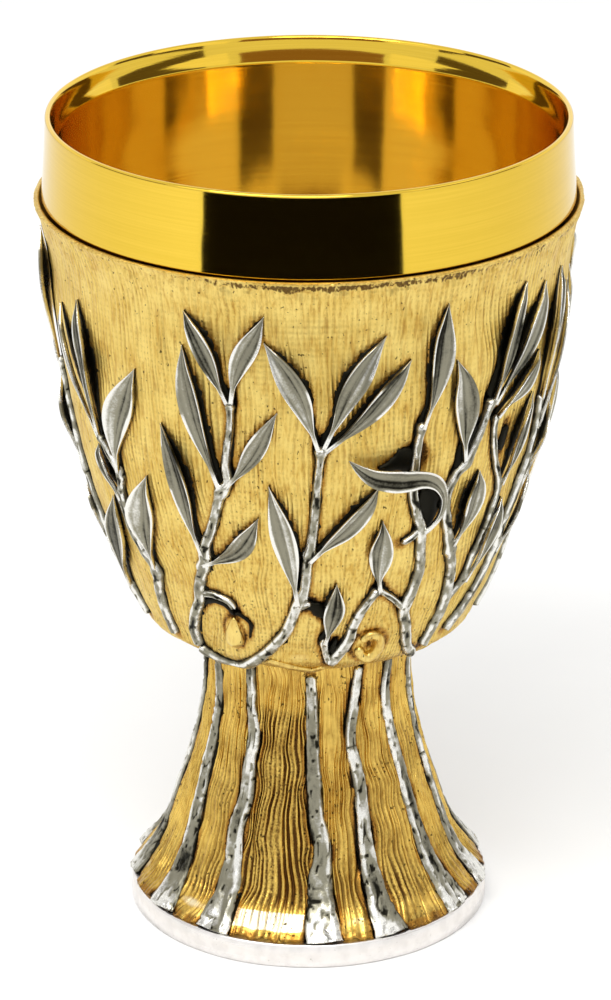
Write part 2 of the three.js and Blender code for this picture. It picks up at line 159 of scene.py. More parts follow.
def noise(u, v, cells=None, seed=0):
    """Smooth noise from -1 to 1 over cells of size 1. With `cells`, it repeats after that many of them along u."""
    size = 512
    wrap = cells or size
    table = np.random.default_rng(seed).uniform(-1, 1, (size, size))
    u, v = np.broadcast_arrays(np.asarray(u, float), np.asarray(v, float))
    iu, iv = np.floor(u).astype(int), np.floor(v).astype(int)
    fu, fv = u - iu, v - iv
    fu, fv = fu * fu * (3 - 2 * fu), fv * fv * (3 - 2 * fv)
    u0, u1, v0, v1 = iu % wrap, (iu + 1) % wrap, iv % size, (iv + 1) % size
    low = table[u0, v0] * (1 - fu) + table[u1, v0] * fu
    high = table[u0, v1] * (1 - fu) + table[u1, v1] * fu
    return low * (1 - fv) + high * fv


def around(angles, cells, v, seed):
    """Smooth noise that has so many cells round the axis."""
    return noise(angles / 360 * cells, v, cells, seed)


def spread(values, t):
    """Evenly spaced values, the first at 0 and the last at 1, read at t."""
    return np.interp(t, np.linspace(0, 1, len(values)), values)


def bell(x, width):
    return np.exp(-((x / width) ** 2))


def ramp(low, high, x):
    """0 at `low`, 1 at `high` and smooth between them. `high` may be the smaller."""
    t = np.clip((x - low) / (high - low), 0, 1)
    return t * t * (3 - 2 * t)


def path(points, count):
    """Evenly spaced points on a smooth curve through the given ones."""
    points = np.array(points, float)
    if len(points) == 2:
        points = np.array([points[0], points.mean(0), points[1]])
    knots = np.arange(len(points))
    fine = np.linspace(0, len(points) - 1, 24 * len(points))
    curve = np.stack([cubic(knots, column, fine) for column in points.T], -1)
    steps = np.linalg.norm(np.diff(curve[:, :2] * (MM_PER_DEGREE, 1), axis=0), axis=1)
    along = np.concatenate(([0.0], np.cumsum(steps)))
    where = np.linspace(0, along[-1], count)
    return np.stack([np.interp(where, along, column) for column in curve.T], -1)


# ---- mesh making

def add_mesh(name, points, quads, material, marks=None, triangles=(), smooth=True):
    """An object from points in millimetres. `marks` are numbers per point that its material reads."""
    faces = [tuple(map(int, face)) for group in (quads, triangles) for face in group]
    mesh = bpy.data.meshes.new(name)
    mesh.from_pydata((np.asarray(points) * MM).tolist(), [], faces)
    for mark, values in (marks or {}).items():
        attribute = mesh.attributes.new(mark, "FLOAT", "POINT")
        attribute.data.foreach_set("value", np.asarray(values, np.float32).ravel())
    mesh.polygons.foreach_set("use_smooth", [smooth] * len(mesh.polygons))
    mesh.update()
    obj = bpy.data.objects.new(name, mesh)
    obj.data.materials.append(material)
    bpy.context.collection.objects.link(obj)
    return obj


def install(obj, body, slot, *nodes):
    """The piece rides on its body and stands for its CAD nodes, which it hides. Its slot is not used."""
    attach(obj, body)
    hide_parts(*nodes)
    return obj


def grid_quads(rows, columns, wrap_rows=False, wrap_columns=True):
    """Quads over a grid whose point (row, column) is number row * columns + column."""
    r = np.arange(rows if wrap_rows else rows - 1)[:, None]
    c = np.arange(columns if wrap_columns else columns - 1)[None, :]
    r1, c1 = (r + 1) % rows, (c + 1) % columns
    corners = [r * columns + c, r * columns + c1, r1 * columns + c1, r1 * columns + c]
    return np.stack([k + 0 * r + 0 * c for k in corners], -1).reshape(-1, 4)


class Shells:
    """Closed shells gathered into one mesh, each with its own points, faces and marks."""

    def __init__(self):
        self.points, self.quads, self.marks, self.count = [], [], {}, 0

    def add(self, points, quads, **marks):
        self.points.append(points)
        self.quads.append(quads + self.count)
        for mark, values in marks.items():
            self.marks.setdefault(mark, []).append(np.ravel(values))
        self.count += len(points)

    def build(self, name, material):
        marks = {mark: np.concatenate(values) for mark, values in self.marks.items()}
        return add_mesh(name, np.concatenate(self.points), np.concatenate(self.quads), material, marks)


def revolved(name, radius, heights, material, ends=(), marks=None, smooth=True):
    """A piece from its radius at each (row, segment) and its rows' heights.

    It closes at two points on the axis, at the heights in `ends`, or else its last row joins its first.
    """
    rows, segments = radius.shape
    points = polar(radius, circle(segments), heights).reshape(-1, 3)
    triangles = []
    if len(ends):
        first, top = len(points), len(points) - segments
        points = np.vstack([points] + [(0, 0, z) for z in ends])
        for s in range(segments):
            after = (s + 1) % segments
            triangles += [(first, after, s), (first + 1, top + s, top + after)]
    quads = grid_quads(rows, segments, wrap_rows=not len(ends))
    return add_mesh(name, points, quads, material, marks, triangles, smooth)


def turned(name, outline, material, segments=256, closed=False, wobble=None, inside_from=None):
    """A turned piece from (radius, height) points. An open outline starts and ends on the axis.

    With `inside_from`, the mark `inside` is 1 on the outline's points from that number on, and 0 before it.
    """
    outline = np.array(outline, float)
    rows = outline if closed else outline[1:-1]
    radius = np.repeat(rows[:, :1], segments, axis=1)
    if wobble:
        radius = radius + wobble(rows, circle(segments))
    marks = {}
    if inside_from is not None:
        inside = np.repeat(np.arange(len(rows)) + 1 >= inside_from, segments)
        marks["inside"] = np.concatenate([inside, (False, True)]).astype(float)
    return revolved(name, radius, rows[:, 1:], material, () if closed else outline[[0, -1], 1], marks)


def arc_points(centre, radius, start, end, count):
    """(radius, height) points on an arc. Angles are in degrees, 0 outward and 90 up."""
    turn = np.radians(np.linspace(start, end, count))
    return [(centre[0] + radius * math.cos(t), centre[1] + radius * math.sin(t)) for t in turn]


# ---- materials

class Wire:
    """A shader value. Sums and products of it with others, or with numbers, are new math nodes."""

    def __init__(self, nodes, socket):
        self.nodes, self.socket = nodes, socket

    def __add__(self, other):
        return self.nodes.math("ADD", self, other)

    def __sub__(self, other):
        return self.nodes.math("SUBTRACT", self, other)

    def __mul__(self, other):
        return self.nodes.math("MULTIPLY", self, other)


class Nodes:
    """A material that is being made, with short forms for its shader nodes."""

    def __init__(self, name, metallic=1.0):
        self.material = bpy.data.materials.new(name)
        self.material.use_nodes = True
        self.tree = self.material.node_tree
        self.shader = self.tree.nodes["Principled BSDF"]
        self.feed(self.shader, "Metallic", metallic)

    def feed(self, node, key, value):
        if isinstance(value, Wire):
            self.tree.links.new(value.socket, node.inputs[key])
        else:
            node.inputs[key].default_value = value

    def add(self, kind, inputs, output=0, **settings):
        """The output of a new node, whose inputs are given by name or number."""
        node = self.tree.nodes.new("ShaderNode" + kind)
        for key, value in settings.items():
            setattr(node, key, value)
        for key, value in inputs.items():
            self.feed(node, key, value)
        return Wire(self, node.outputs[output])

    def mark(self, name):
        return self.add("Attribute", {}, "Fac", attribute_name=name)

    def noise(self, scale, detail=3.0, roughness=0.55, stretch=(1, 1, 1)):
        """Noise over the object's own coordinates in millimetres, stretched."""
        place = self.add("TexCoord", {}, "Object")
        place = self.add("Mapping", {"Vector": place, "Scale": [s / MM for s in stretch]}, "Vector")
        inputs = {"Vector": place, "Scale": scale, "Detail": detail, "Roughness": roughness}
        return self.add("TexNoise", inputs, "Fac")

    def math(self, operation, a, b=0.0):
        return self.add("Math", {0: a, 1: b}, operation=operation)

    def step(self, value, low, high, to_low=0.0, to_high=1.0):
        """Value, mapped smoothly from low..high to to_low..to_high, and held at the ends."""
        inputs = {"Value": value, "From Min": low, "From Max": high, "To Min": to_low, "To Max": to_high}
        return self.add("MapRange", inputs, "Result", interpolation_type="SMOOTHSTEP")

    def mix(self, amount, a, b):
        return self.add("Mix", {"Factor": amount, 6: a, 7: b}, 2, data_type="RGBA", clamp_factor=True)

    def coats(self, base, *coats):
        """A colour under coats, each of them (amount, colour)."""
        for amount, coat in coats:
            base = self.mix(amount, base, coat)
        return base

    def bump(self, height, distance, **under):
        return self.add("Bump", {"Height": height, "Strength": 1.0, "Distance": distance * MM, **under}, "Normal")

    def finish(self, **inputs):
        """The material, once its shader's inputs are set."""
        for key, value in inputs.items():
            self.feed(self.shader, key.replace("_", " "), value)
        return self.material


def colour(r, g, b):
    return (r, g, b, 1.0)


BEAD_PITCH = 1.3
GOLD_HIGH = colour(0.82, 0.625, 0.190)
GOLD_LOW = colour(0.65, 0.433, 0.095)
FOOT_GOLD_HIGH = colour(0.82, 0.56, 0.130)
FOOT_GOLD_LOW = colour(0.46, 0.275, 0.05)
# Amber, brown and black serve for patina in the grooves and pits, and also for painted shadow beside the branches
AMBER = colour(0.40, 0.19, 0.030)
PATINA_AND_SHADOW_BROWN = colour(0.080, 0.034, 0.008)
PATINA_AND_SHADOW_BLACK = colour(0.010, 0.008, 0.005)
# A pale gold for painted highlight, laid where the groove mark is negative
GOLD_GLINT = colour(1.0, 0.87, 0.58)
SILVER_HIGH = colour(0.82, 0.81, 0.76)
SILVER_MID = colour(0.27, 0.255, 0.19)
SILVER_DARK = colour(0.014, 0.013, 0.009)


def cast_gilt(name, high, low, groove, beading, pitted, gloss, depth):
    """Satin gilding over ribs, with `groove` as the patina's (strength, low rib, high rib).

    Marks: rib (1 on a crest), a groove mark (patina in the grooves, and a painted highlight where it's negative),
    shade (patina and painted shadow beside the branches), notch (fine patina marks) and along (millimetres up the
    outline).
    """
    n = Nodes(name)
    crest, stain, shade, along = (n.mark(mark) for mark in ("rib", "stain", "shade", "along"))
    grain = n.noise(2.2, 4.0)
    blotch = n.noise(0.16, 3.0)
    streaks = n.noise(1.0, 3.0, 0.6, (1.5, 1.5, 0.11))
    clusters = n.step(n.noise(0.11, 2.0), 0.44, 0.60, 0.0, pitted)
    pits = n.step(n.noise(1.5, 1.5, 0.5, (1, 1, 0.7)) - clusters, 0.29, 0.235)
    beads = n.math("SINE", along * (2 * math.pi / BEAD_PITCH))
    worn = crest + (grain - 0.5) * 0.9 + beads * (beading / 2)
    furrow = n.step(worn, groove[2], groove[1]) * stain
    ragged = shade + (grain - 0.5) * 0.6
    serrated = n.noise(1.6, 1.0, 0.5, (1, 1, 0.25)) + n.mark("notch") * 0.5
    gold = n.coats(
        n.mix(n.step(blotch, 0.3, 0.75), low, high),
        (n.step(streaks, 0.36, 0.66, 0.0, 0.55), high),
        (n.step(streaks, 0.52, 0.30, 0.0, 0.42), AMBER),
        # Painted highlight where the groove mark is negative
        (n.step(stain, -0.1, -0.6), GOLD_GLINT),
        (furrow * groove[0], PATINA_AND_SHADOW_BROWN),
        # Amber, brown and black beside the branches: patina and painted shadow
        (n.step(ragged, 0.08, 0.38, 0.0, 0.85), AMBER),
        (n.step(ragged, 0.34, 0.60), PATINA_AND_SHADOW_BROWN),
        (n.step(ragged, 0.58, 0.80), PATINA_AND_SHADOW_BLACK),
        (pits * 0.8, PATINA_AND_SHADOW_BLACK),
        (n.step(serrated, 0.80, 1.02, 0.0, 0.9), PATINA_AND_SHADOW_BROWN),
    )
    height = crest * 0.8 + beads * beading + grain * 0.45 + streaks * 0.4 - pits * 0.9
    return n.finish(
        Base_Color=gold, Roughness=n.step(worn, 0.0, 1.0, gloss + 0.16, gloss), Normal=n.bump(height, depth),
    )


def oxidised_silver():
    """Silver, bright where it was burnished and near black in its grooves. Its mark, 0 bright to 1 dark, also
    carries painted shade and painted highlight.
    """
    n = Nodes("oxidised_silver")
    grain = n.noise(2.6, 4.0)
    tarnish = n.mark("tarnish") + (grain - 0.5) * 0.3 + (n.noise(0.5, 3.0) - 0.5) * 0.3
    coats = (n.step(tarnish, 0.08, 0.48), SILVER_MID), (n.step(tarnish, 0.54, 0.98), SILVER_DARK)
    return n.finish(
        Base_Color=n.coats(SILVER_HIGH, *coats), Roughness=n.step(tarnish, 0.1, 0.9, 0.26, 0.5),
        Normal=n.bump(grain, 0.07),
    )


def polished_gilt():
    """Mirror gilding with faint turning lines round the cup, painted paler inside. Mark: inside (1 within the
    cup).
    """
    n = Nodes("polished_gilt")
    lines = n.noise(1.0, 3.0, 0.6, (0.03, 0.03, 3.0))
    ripple = n.noise(0.06, 1.0, 0.5, (1, 1, 1.6))
    tone = n.step(lines, 0.25, 0.75)
    # One gilding in two colours: the difference between the outer and the paler inner tone is painted light
    outer = n.mix(tone, colour(0.73, 0.485, 0.040), colour(0.79, 0.53, 0.052))
    inner = n.mix(tone, colour(0.81, 0.63, 0.235), colour(0.85, 0.68, 0.28))
    return n.finish(
        Base_Color=n.mix(n.mark("inside"), outer, inner), Roughness=n.step(lines, 0.2, 0.8, 0.05, 0.085),
        Coat_Weight=0.25, Coat_Roughness=0.08, Normal=n.bump(lines, 0.0035, Normal=n.bump(ripple, 0.06)),
    )


def bright_silver():
    """Nearly white satin silver, a little dented, with faint turning lines."""
    n = Nodes("bright_silver")
    lines = n.noise(1.0, 3.0, 0.6, (0.05, 0.05, 3.0))
    dents = n.noise(0.35, 2.0)
    specks = n.step(n.noise(1.3, 2.0), 0.30, 0.24)
    silver = n.mix(n.step(dents, 0.3, 0.7), colour(0.80, 0.77, 0.745), colour(0.89, 0.86, 0.835))
    return n.finish(
        Base_Color=n.mix(specks * 0.6, silver, SILVER_MID), Roughness=n.step(lines, 0.2, 0.8, 0.26, 0.36),
        Normal=n.bump(dents + lines * 0.12, 0.10),
    )


def turned_brass():
    """Plain lathe-turned brass, dulled a little, for the hidden fixings."""
    n = Nodes("turned_brass")
    tone = n.noise(0.4, 4.0)
    lines = n.noise(1.0, 2.0, 0.5, (0.2, 0.2, 6.0))
    return n.finish(
        Base_Color=n.mix(n.step(tone, 0.35, 0.7), colour(0.42, 0.28, 0.10), colour(0.72, 0.53, 0.24)),
        Roughness=n.step(tone, 0.3, 0.7, 0.42, 0.26), Normal=n.bump(lines, 0.03),
    )


def pale_floor():
    n = Nodes("pale_floor", metallic=0.0)
    tone = n.mix(n.noise(0.02, 3.0), colour(0.81, 0.81, 0.805), colour(0.85, 0.85, 0.845))
    return n.finish(Base_Color=tone, Roughness=0.75)


CALYX_GILT = cast_gilt(
    "calyx_gilt", GOLD_HIGH, GOLD_LOW, (0.6, 0.04, 0.46), beading=0.14, pitted=0.045, gloss=0.34, depth=0.09,
)
FOOT_GILT = cast_gilt(
    "foot_gilt", FOOT_GOLD_HIGH, FOOT_GOLD_LOW, (1.0, 0.16, 0.74), beading=0.02, pitted=0.07, gloss=0.25,
    depth=0.16,
)
OLD_SILVER = oxidised_silver()
POLISHED_GILT = polished_gilt()
BRIGHT_SILVER = bright_silver()
BRASS = turned_brass()


# ---- the layout of the sprigs and branches

# A stem is a route of (angle, height). A leaf is (stalk angle, stalk height, tip angle, tip height, width, bow,
# lift, tone): bow and lift are in millimetres at its middle, and tone runs from -1, burnished, to 1, dark. A black
# patch of the ground, as a route and its widths, is patina and painted shadow in a fork or beside a stem.
SPRIGS = {
    "sprig_far_left": {
        "stems": [[(-70, 71.6), (-72, 78.6), (-76, 88.6), (-80, 100.6), (-82, 112.6), (-82, 128.6)]],
        "leaves": [
            (-82, 127.6, -84, 157.1, 6, 0.6, 0.8, 0.2), (-80.5, 103.6, -90, 124.6, 5.4, -0.8, 0.7, 0),
            (-71, 78.1, -58.2, 104.2, 5.6, 1, 0.8, -0.4), (-75, 86.6, -86, 100.6, 4.6, -0.6, 0.6, 0.3),
        ],
    },
    "sprig_left": {
        "stems": [
            [(-51, 71.6), (-50.5, 76.6), (-49.5, 82.6), (-47.5, 89.1), (-51, 93.6), (-53, 98.6), (-53.5, 105.1),
             (-52, 111.1), (-55, 114.6), (-58, 118.6)],
        ],
        "leaves": [
            (-47, 89.4, -42, 113.3, 6, -0.8, 0.9, -0.5), (-52, 111.2, -41.2, 138.1, 6.2, -1.4, 0.9, -0.5),
            (-53.4, 104.6, -59.8, 115.9, 4.6, -0.5, 0.6, 0.6), (-57.9, 118.1, -70.5, 144.4, 5.6, -0.8, 1.0, 0.2),
            (-57.6, 118.4, -60.5, 148.1, 5.8, 0.8, 1.0, 0.3),
        ],
    },
    "sprig_mid_left": {
        "stems": [
            [(-40, 71.1), (-39, 75.6), (-36, 80.6), (-33, 84.6), (-32, 88.1), (-28.7, 94.6), (-27, 99.6),
             (-24, 105.6), (-21.5, 112.6), (-19.2, 116.1), (-19.3, 120.6), (-17.8, 128.6), (-17.4, 134.6)],
            [(-33, 84.6), (-31.3, 86.4), (-27.5, 86.8), (-23.2, 85.7), (-21.8, 83.8)],
        ],
        "patina_and_shadow_patches": [
            ([(-33, 83.1), (-29, 85), (-25, 84.6), (-22.4, 82.2)], (0.8, 1.6, 1.4, 0.8)),
            ([(-22, 83), (-17.8, 80.5), (-18.8, 76.2)], (0.7, 0.9, 0.5)),
        ],
        "leaves": [
            (-28.2, 97.1, -35.3, 127.1, 5.2, 0.6, 0.8, 0.7), (-28.8, 94.6, -12.2, 108.2, 4.6, 2.2, 0.7, 0),
            (-20, 114.6, -7, 133.2, 4.2, 0.8, 0.8, -0.2), (-21, 114.1, -28, 146.1, 5.1, -1, 0.9, 0.2),
            (-17.8, 134.6, -27, 154, 4.8, 0.4, 0.8, 0.7), (-17, 134.6, -9.4, 154.6, 4.6, -1, 0.8, -0.4),
        ],
    },
    "sprig_centre": {
        "stems": [
            [(-40, 70.6), (-36, 69), (-31.8, 67.5), (-26, 67.2), (-19, 69.8), (-13, 73.6), (-7, 79.1),
             (-3.7, 85.5), (-1.2, 90.6), (-0.5, 96.6), (0.6, 102.6), (1.3, 108.6), (1.8, 115.6), (2.4, 121.6),
             (2.8, 125.6)],
            [(-3, 86.1), (0.6, 87)],
        ],
        "leaves": [
            (-3, 86.6, -9.4, 116.1, 5, 0.8, 1.3, -0.7), (0, 98.1, 16.4, 115.1, 4.8, 0.8, 0.6, -0.3),
            (2.2, 124.4, -9.6, 148.8, 5.2, 1.6, 0.9, -0.4), (3, 125, 16.4, 149.8, 4.9, -1.4, 1.0, -0.5),
            (3.4, 124.6, 22.2, 143.8, 4.6, 1, 0.9, 0.6),
        ],
    },
    "sprig_low_right": {
        "stems": [
            [(6.8, 70), (10, 73.2), (12.6, 77.2), (13.3, 80.7), (15.5, 84.8), (19.2, 89.7)],
            [(6.8, 70.2), (5.2, 73.6), (4.5, 77.1)],
        ],
        "leaves": [(19.6, 89, 18, 107, 4.6, -0.7, 0.7, -0.2), (4.6, 76.1, 7.4, 92, 4.4, 0.5, 0.8, 0.5)],
        "patina_and_shadow_patches": [
            ([(7.4, 73.2), (8.4, 77)], (2.2, 0.8)), ([(-1.5, 86.4), (2.4, 85.2), (5, 83.2)], (1.6, 3.4, 2.8)),
        ],
    },
    "sprig_folded_leaf": {
        "stems": [
            [(38, 69.2), (34.2, 72.1), (30.8, 78.3), (28.8, 82.7), (30, 87.6), (30.8, 93.1), (29.7, 98.1),
             (28.8, 103.6), (27, 107.2), (25.2, 113), (25, 118.6), (25.3, 124.6), (26, 129.1)],
            [(28.8, 82.7), (24.5, 86.2), (19.4, 89.4)],
            [(28.8, 103.6), (26.4, 101.6), (23.8, 100.6)],
        ],
        "leaves": [
            (25.8, 127.6, 30.2, 155.1, 5.2, 0.6, 0.8, 0.6),
        ],
        # The folded leaf rises from the stem, turns over at the right and lies back across the stem to the left
        "folded": [
            ([(28.6, 102.3, 0.3), (30.4, 103.5, 0.6), (32.2, 105.9, 1.1), (32.6, 108.9, 1.7), (31.8, 112.2, 2.3),
              (29.3, 115.6, 2.8), (25.8, 117.5, 3.0), (20.2, 117.9, 2.8), (15, 118.8, 2.3), (11.5, 120.5, 1.6),
              (8.8, 122.6, 1.1)],
             (1.0, 1.0, 1.0, 1.2, 2.2, 3.9, 5.3, 5.6, 4.6, 2.5, 0.1), 0.3),
        ],
        "patina_and_shadow_patches": [
            ([(29.4, 103.2), (30.6, 105), (30.6, 108), (29.2, 111), (27.6, 112.6)], (1.6, 3.4, 5.0, 5.4, 4.0)),
            ([(16, 119.4), (19.2, 119.8), (21.8, 120.4), (23.5, 120.9), (25, 121.1)], (0.6, 2.4, 4.2, 5.6, 6.2)),
        ],
    },
    "sprig_right": {
        "stems": [
            [(41.5, 70.6), (43, 76.1), (44, 81.5), (42.5, 89.9), (39.5, 96.7), (36.5, 103.4), (34.8, 110.2),
             (36.8, 114.6), (39.8, 117.5), (42, 122.2), (43.5, 126.4), (45, 130.6)],
            [(44, 81.5), (49.5, 86.3), (50.3, 91.7), (52.2, 96.6), (53.2, 102.3), (53.8, 108), (50, 114.8),
             (47.8, 121.2), (47.4, 126)],
        ],
        "leaves": [
            (38.4, 117.6, 33.5, 141.8, 5.2, 0.5, 0.8, -0.4), (45.2, 130, 52.8, 154.6, 5.2, -0.8, 0.9, 0.1),
            (45.6, 129.2, 61.5, 152.2, 6, 0.9, 0.9, -0.3), (47.4, 125.8, 62.2, 136.6, 4.8, 0.6, 0.8, 0.1),
            (53.8, 108.2, 62.2, 127, 4.6, -0.6, 0.8, 0.3), (39.7, 97.2, 44.4, 114, 5.8, 0.8, 0.9, -0.2),
            (49.4, 85.8, 56.8, 104.2, 4.6, 0.5, 0.8, -0.1),
        ],
        "patina_and_shadow_patches": [
            ([(44.6, 130.6), (47.6, 137.6), (49.6, 145.6)], (2.6, 3.4, 1.2)),
            ([(37, 115.8), (38.6, 120.2), (41.6, 125)], (2.0, 3.6, 1.6)),
            ([(51.6, 116.6), (52.6, 122.1)], (2.4, 2.6)),
        ],
    },
    "sprig_right_edge": {
        "stems": [
            [(51, 72.6), (56, 77.6), (60, 83.1), (62.5, 89.6), (62.5, 96.9), (64.8, 104.5), (68, 111.1),
             (69, 117.6), (67.5, 124.6)],
        ],
        "leaves": [
            (67.6, 123.6, 70.5, 152.6, 5.8, -0.6, 0.9, 0.2), (68.8, 116.6, 79, 146.6, 5.8, 0.6, 0.9, 0.1),
            (65.2, 104.4, 76, 122.6, 5.2, 0.6, 0.8, 0.4), (62.4, 89.6, 71.5, 106.6, 5, 0.6, 0.7, 0.3),
        ],
    },
}
BACK_SPRIGS = {
    "sprig_back_1": ("sprig_mid_left", 119),
    "sprig_back_2": ("sprig_centre", 136),
    "sprig_back_3": ("sprig_left", 232),
    "sprig_back_4": ("sprig_mid_left", 232),
    "sprig_back_5": ("sprig_centre", 247),
}
for copy, (source, by) in BACK_SPRIGS.items():
    SPRIGS[copy] = {
        "stems": [[(angle + by, z) for angle, z in stem] for stem in SPRIGS[source]["stems"]],
        "leaves": [(leaf[0] + by, leaf[1], leaf[2] + by, *leaf[3:]) for leaf in SPRIGS[source]["leaves"]],
        "patina_and_shadow_patches": [
            ([(angle + by, z) for angle, z in route], widths) for route, widths in SPRIGS[source].get("patina_and_shadow_patches", ())
        ],
    }

STEM_WIDTHS = (2.8, 2.7, 2.5, 2.2, 1.6)
TWIG_WIDTHS = (1.8, 1.4)

WIDTH, TONE = 4, 7  # where a leaf's row holds them

# Branches down the foot, as routes of (angle, height). The back ones repeat a front one, turned round.
FOOT_BRANCHES = [
    [(-84, 62), (-86, 50), (-89, 40), (-91, 30), (-92, 22), (-90, 14), (-87, 8.5), (-86, 4.5)],
    [(-62, 62.5), (-59, 54), (-60, 45), (-61, 36), (-60, 28), (-59, 20), (-58, 12), (-57, 4.5)],
    [(-33.5, 62.5), (-34, 54), (-31, 47), (-32, 40), (-31.5, 33), (-34, 26), (-33, 19), (-32.5, 12), (-33, 4.5)],
    [(1, 61.5), (1.5, 52), (2, 44), (2.5, 37), (3.5, 30), (5.5, 24), (4.5, 17), (4.5, 11), (5, 4.5)],
    [(28, 62.5), (26, 54), (22.5, 45.5), (25.5, 38), (25.5, 30), (25, 22), (26, 15), (28, 4.5)],
    [(50, 62.5), (47.5, 54), (49, 46), (52, 38), (53, 31), (54, 23), (56.5, 14), (58, 4.5)],
    [(76, 62.5), (75, 54), (76, 44), (78, 35), (78, 26), (79, 18), (80, 10), (81, 4.5)],
]
BACK_FOOT_BRANCHES = [(2, 140), (3, 132), (1, 223), (4, 164), (2, 250), (5, 193)]
FOOT_BRANCHES += [[(angle + by, z) for angle, z in FOOT_BRANCHES[k]] for k, by in BACK_FOOT_BRANCHES]
FOOT_BRANCH_WIDTHS = (2.1, 2.4, 2.7, 3.1, 3.7, 5.2, 8.2)


def leaf_route(leaf):
    """The middle line of a plain leaf, as (angle, height, lift), with a slight double bend."""
    angle0, z0, angle1, z1, _, bow, lift, _ = leaf
    radius = CALYX.radius((z0 + z1) / 2)
    run = np.array((math.radians(angle1 - angle0) * radius, z1 - z0))
    run /= np.linalg.norm(run)
    bend = 0.35 * math.sin(5 * angle1 + z1)
    route = [(angle0, z0, 0.5)]
    for share, offset in ((0.25, 0.6 * bow - bend), (0.5, bow), (0.78, 0.6 * bow + bend)):
        angle = angle0 + share * (angle1 - angle0) + math.degrees(run[1] * offset / radius)
        rise = 0.4 + 4 * share * (1 - share) * (lift - 0.4)
        route.append((angle, z0 + share * (z1 - z0) - run[0] * offset, rise))
    return [*route, (angle1, z1, 0.35)]


def side_on(route):
    """How far a route lies from the front: 0 up to 38 degrees off it, 1 from 58."""
    return ramp(38, 58, abs(half_turn(np.mean([place[0] for place in route]))))


def leaf_half_width(t, width):
    """Half the blade's width along it: a stalk, a full middle and a sharp tip."""
    stalk = 0.08
    blade = np.clip((t - stalk) / (1 - stalk), 0, 1)
    half = width / 2 * np.sin(math.pi * blade ** 1.2) ** 1.2
    return np.maximum(half, np.where(t > 0.6, 0.05, 0.42))


# ---- patina and painted shadow beside the branches

FAR = 99.0  # a gap that is out of any reach
SHADE_REACH = 5.0  # how far beside a strip its patina is worked out
WAIST_RADIUS = 22.0  # near the smallest radius that a strip lies on


def strip_distance(surface, angles, heights, route, half_widths):
    """For points on the surface: the gap to a strip's edge, the share along it from 0 to 1, and the side of it.

    The side is 1 above the strip and -1 below. The three are arrays, like the points' angles and heights.
    """
    gap = np.full(angles.shape, FAR)
    along, side = np.zeros(angles.shape), np.zeros(angles.shape)
    z_low, z_high = route[:, 1].min() - SHADE_REACH, route[:, 1].max() + SHADE_REACH
    middle = (route[:, 0].min() + route[:, 0].max()) / 2
    turn = half_turn(angles - middle)
    spread_angle = np.ptp(route[:, 0]) / 2 + math.degrees(SHADE_REACH / WAIST_RADIUS)
    near = (heights > z_low) & (heights < z_high) & (np.abs(turn) < spread_angle)
    if not near.any():
        return gap, along, side
    z = heights[near]
    radius = surface.radius(z)
    x = np.radians(turn[near]) * radius
    arc = surface.arc(z)
    best, share, above = np.full(z.shape, FAR), np.zeros(z.shape), np.zeros(z.shape)
    route_arc = surface.arc(route[:, 1])
    for k in range(len(route) - 1):
        ax, bx = (np.radians(route[j, 0] - middle) * radius for j in (k, k + 1))
        ay, by = route_arc[k], route_arc[k + 1]
        dx, dy = bx - ax, by - ay
        t = np.clip(((x - ax) * dx + (arc - ay) * dy) / np.maximum(dx * dx + dy * dy, 1e-6), 0, 1)
        off_x, off_y = x - ax - t * dx, arc - ay - t * dy
        distance = np.hypot(off_x, off_y) - (half_widths[k] * (1 - t) + half_widths[k + 1] * t)
        closer = distance < best
        best = np.where(closer, distance, best)
        share = np.where(closer, (k + t) / (len(route) - 1), share)
        lean = np.sign(dy * off_x - dx * off_y) * np.where(dx > 0, -1, 1)
        above = np.where(closer, lean, above)
    gap[near], along[near], side[near] = best, share, above
    return gap, along, side


def calyx_shade(angles, heights):
    """Patina and painted shadow beside the sprigs, from 0 to about 1.5: heaviest in the forks and on a leaf's
    upper side.
    """
    shade = np.zeros(angles.shape)
    for sprig in SPRIGS.values():
        for leaf in sprig["leaves"]:
            route = path(leaf_route(leaf), 10)
            halves = leaf_half_width(np.linspace(0, 1, 10), leaf[WIDTH]) * 0.95
            gap, along, side = strip_distance(CALYX, angles, heights, route, halves)
            weight = np.where(side > 0, 0.50, 0.37) * (1.15 - 0.5 * along) * (1 - 0.25 * side_on(route))
            shade += weight * np.exp(-np.maximum(gap, 0) / np.where(side > 0, 0.9, 0.55))
        edges = [(path(stem, 3 * len(stem)), (2.0, 2.0), 0.7) for stem in sprig["stems"]]
        edges += [(path(route, 9), widths, 0.5) for route, widths in sprig.get("patina_and_shadow_patches", ())]
        for route, widths, decay in edges:
            halves = spread(widths, np.linspace(0, 1, len(route))) / 2
            gap = strip_distance(CALYX, angles, heights, route, halves)[0]
            shade += 0.5 * np.exp(-np.maximum(gap, 0) / decay)
    return shade


def foot_shade(angles, heights):
    """Patina and painted shadow beside the foot's branches, broken up along them, and a light patina on the drips
    over the ring.
    """
    shade = (0.34 + 0.25 * around(angles, 150, 0.5, 39)) * ramp(7.4, 6.4, heights)
    for k, branch in enumerate(FOOT_BRANCHES):
        route = path(branch, 3 * len(branch))
        halves = spread(FOOT_BRANCH_WIDTHS, np.linspace(0, 1, len(route))) / 2
        gap, along, side = strip_distance(FOOT, angles, heights, route, halves)
        patches = ramp(-0.2, 0.5, noise(side + 3 * k, along * 9, seed=31))
        shade += (0.45 + 0.5 * patches) * np.exp(-np.maximum(gap, 0) / (0.30 + 0.45 * patches))
    return shade


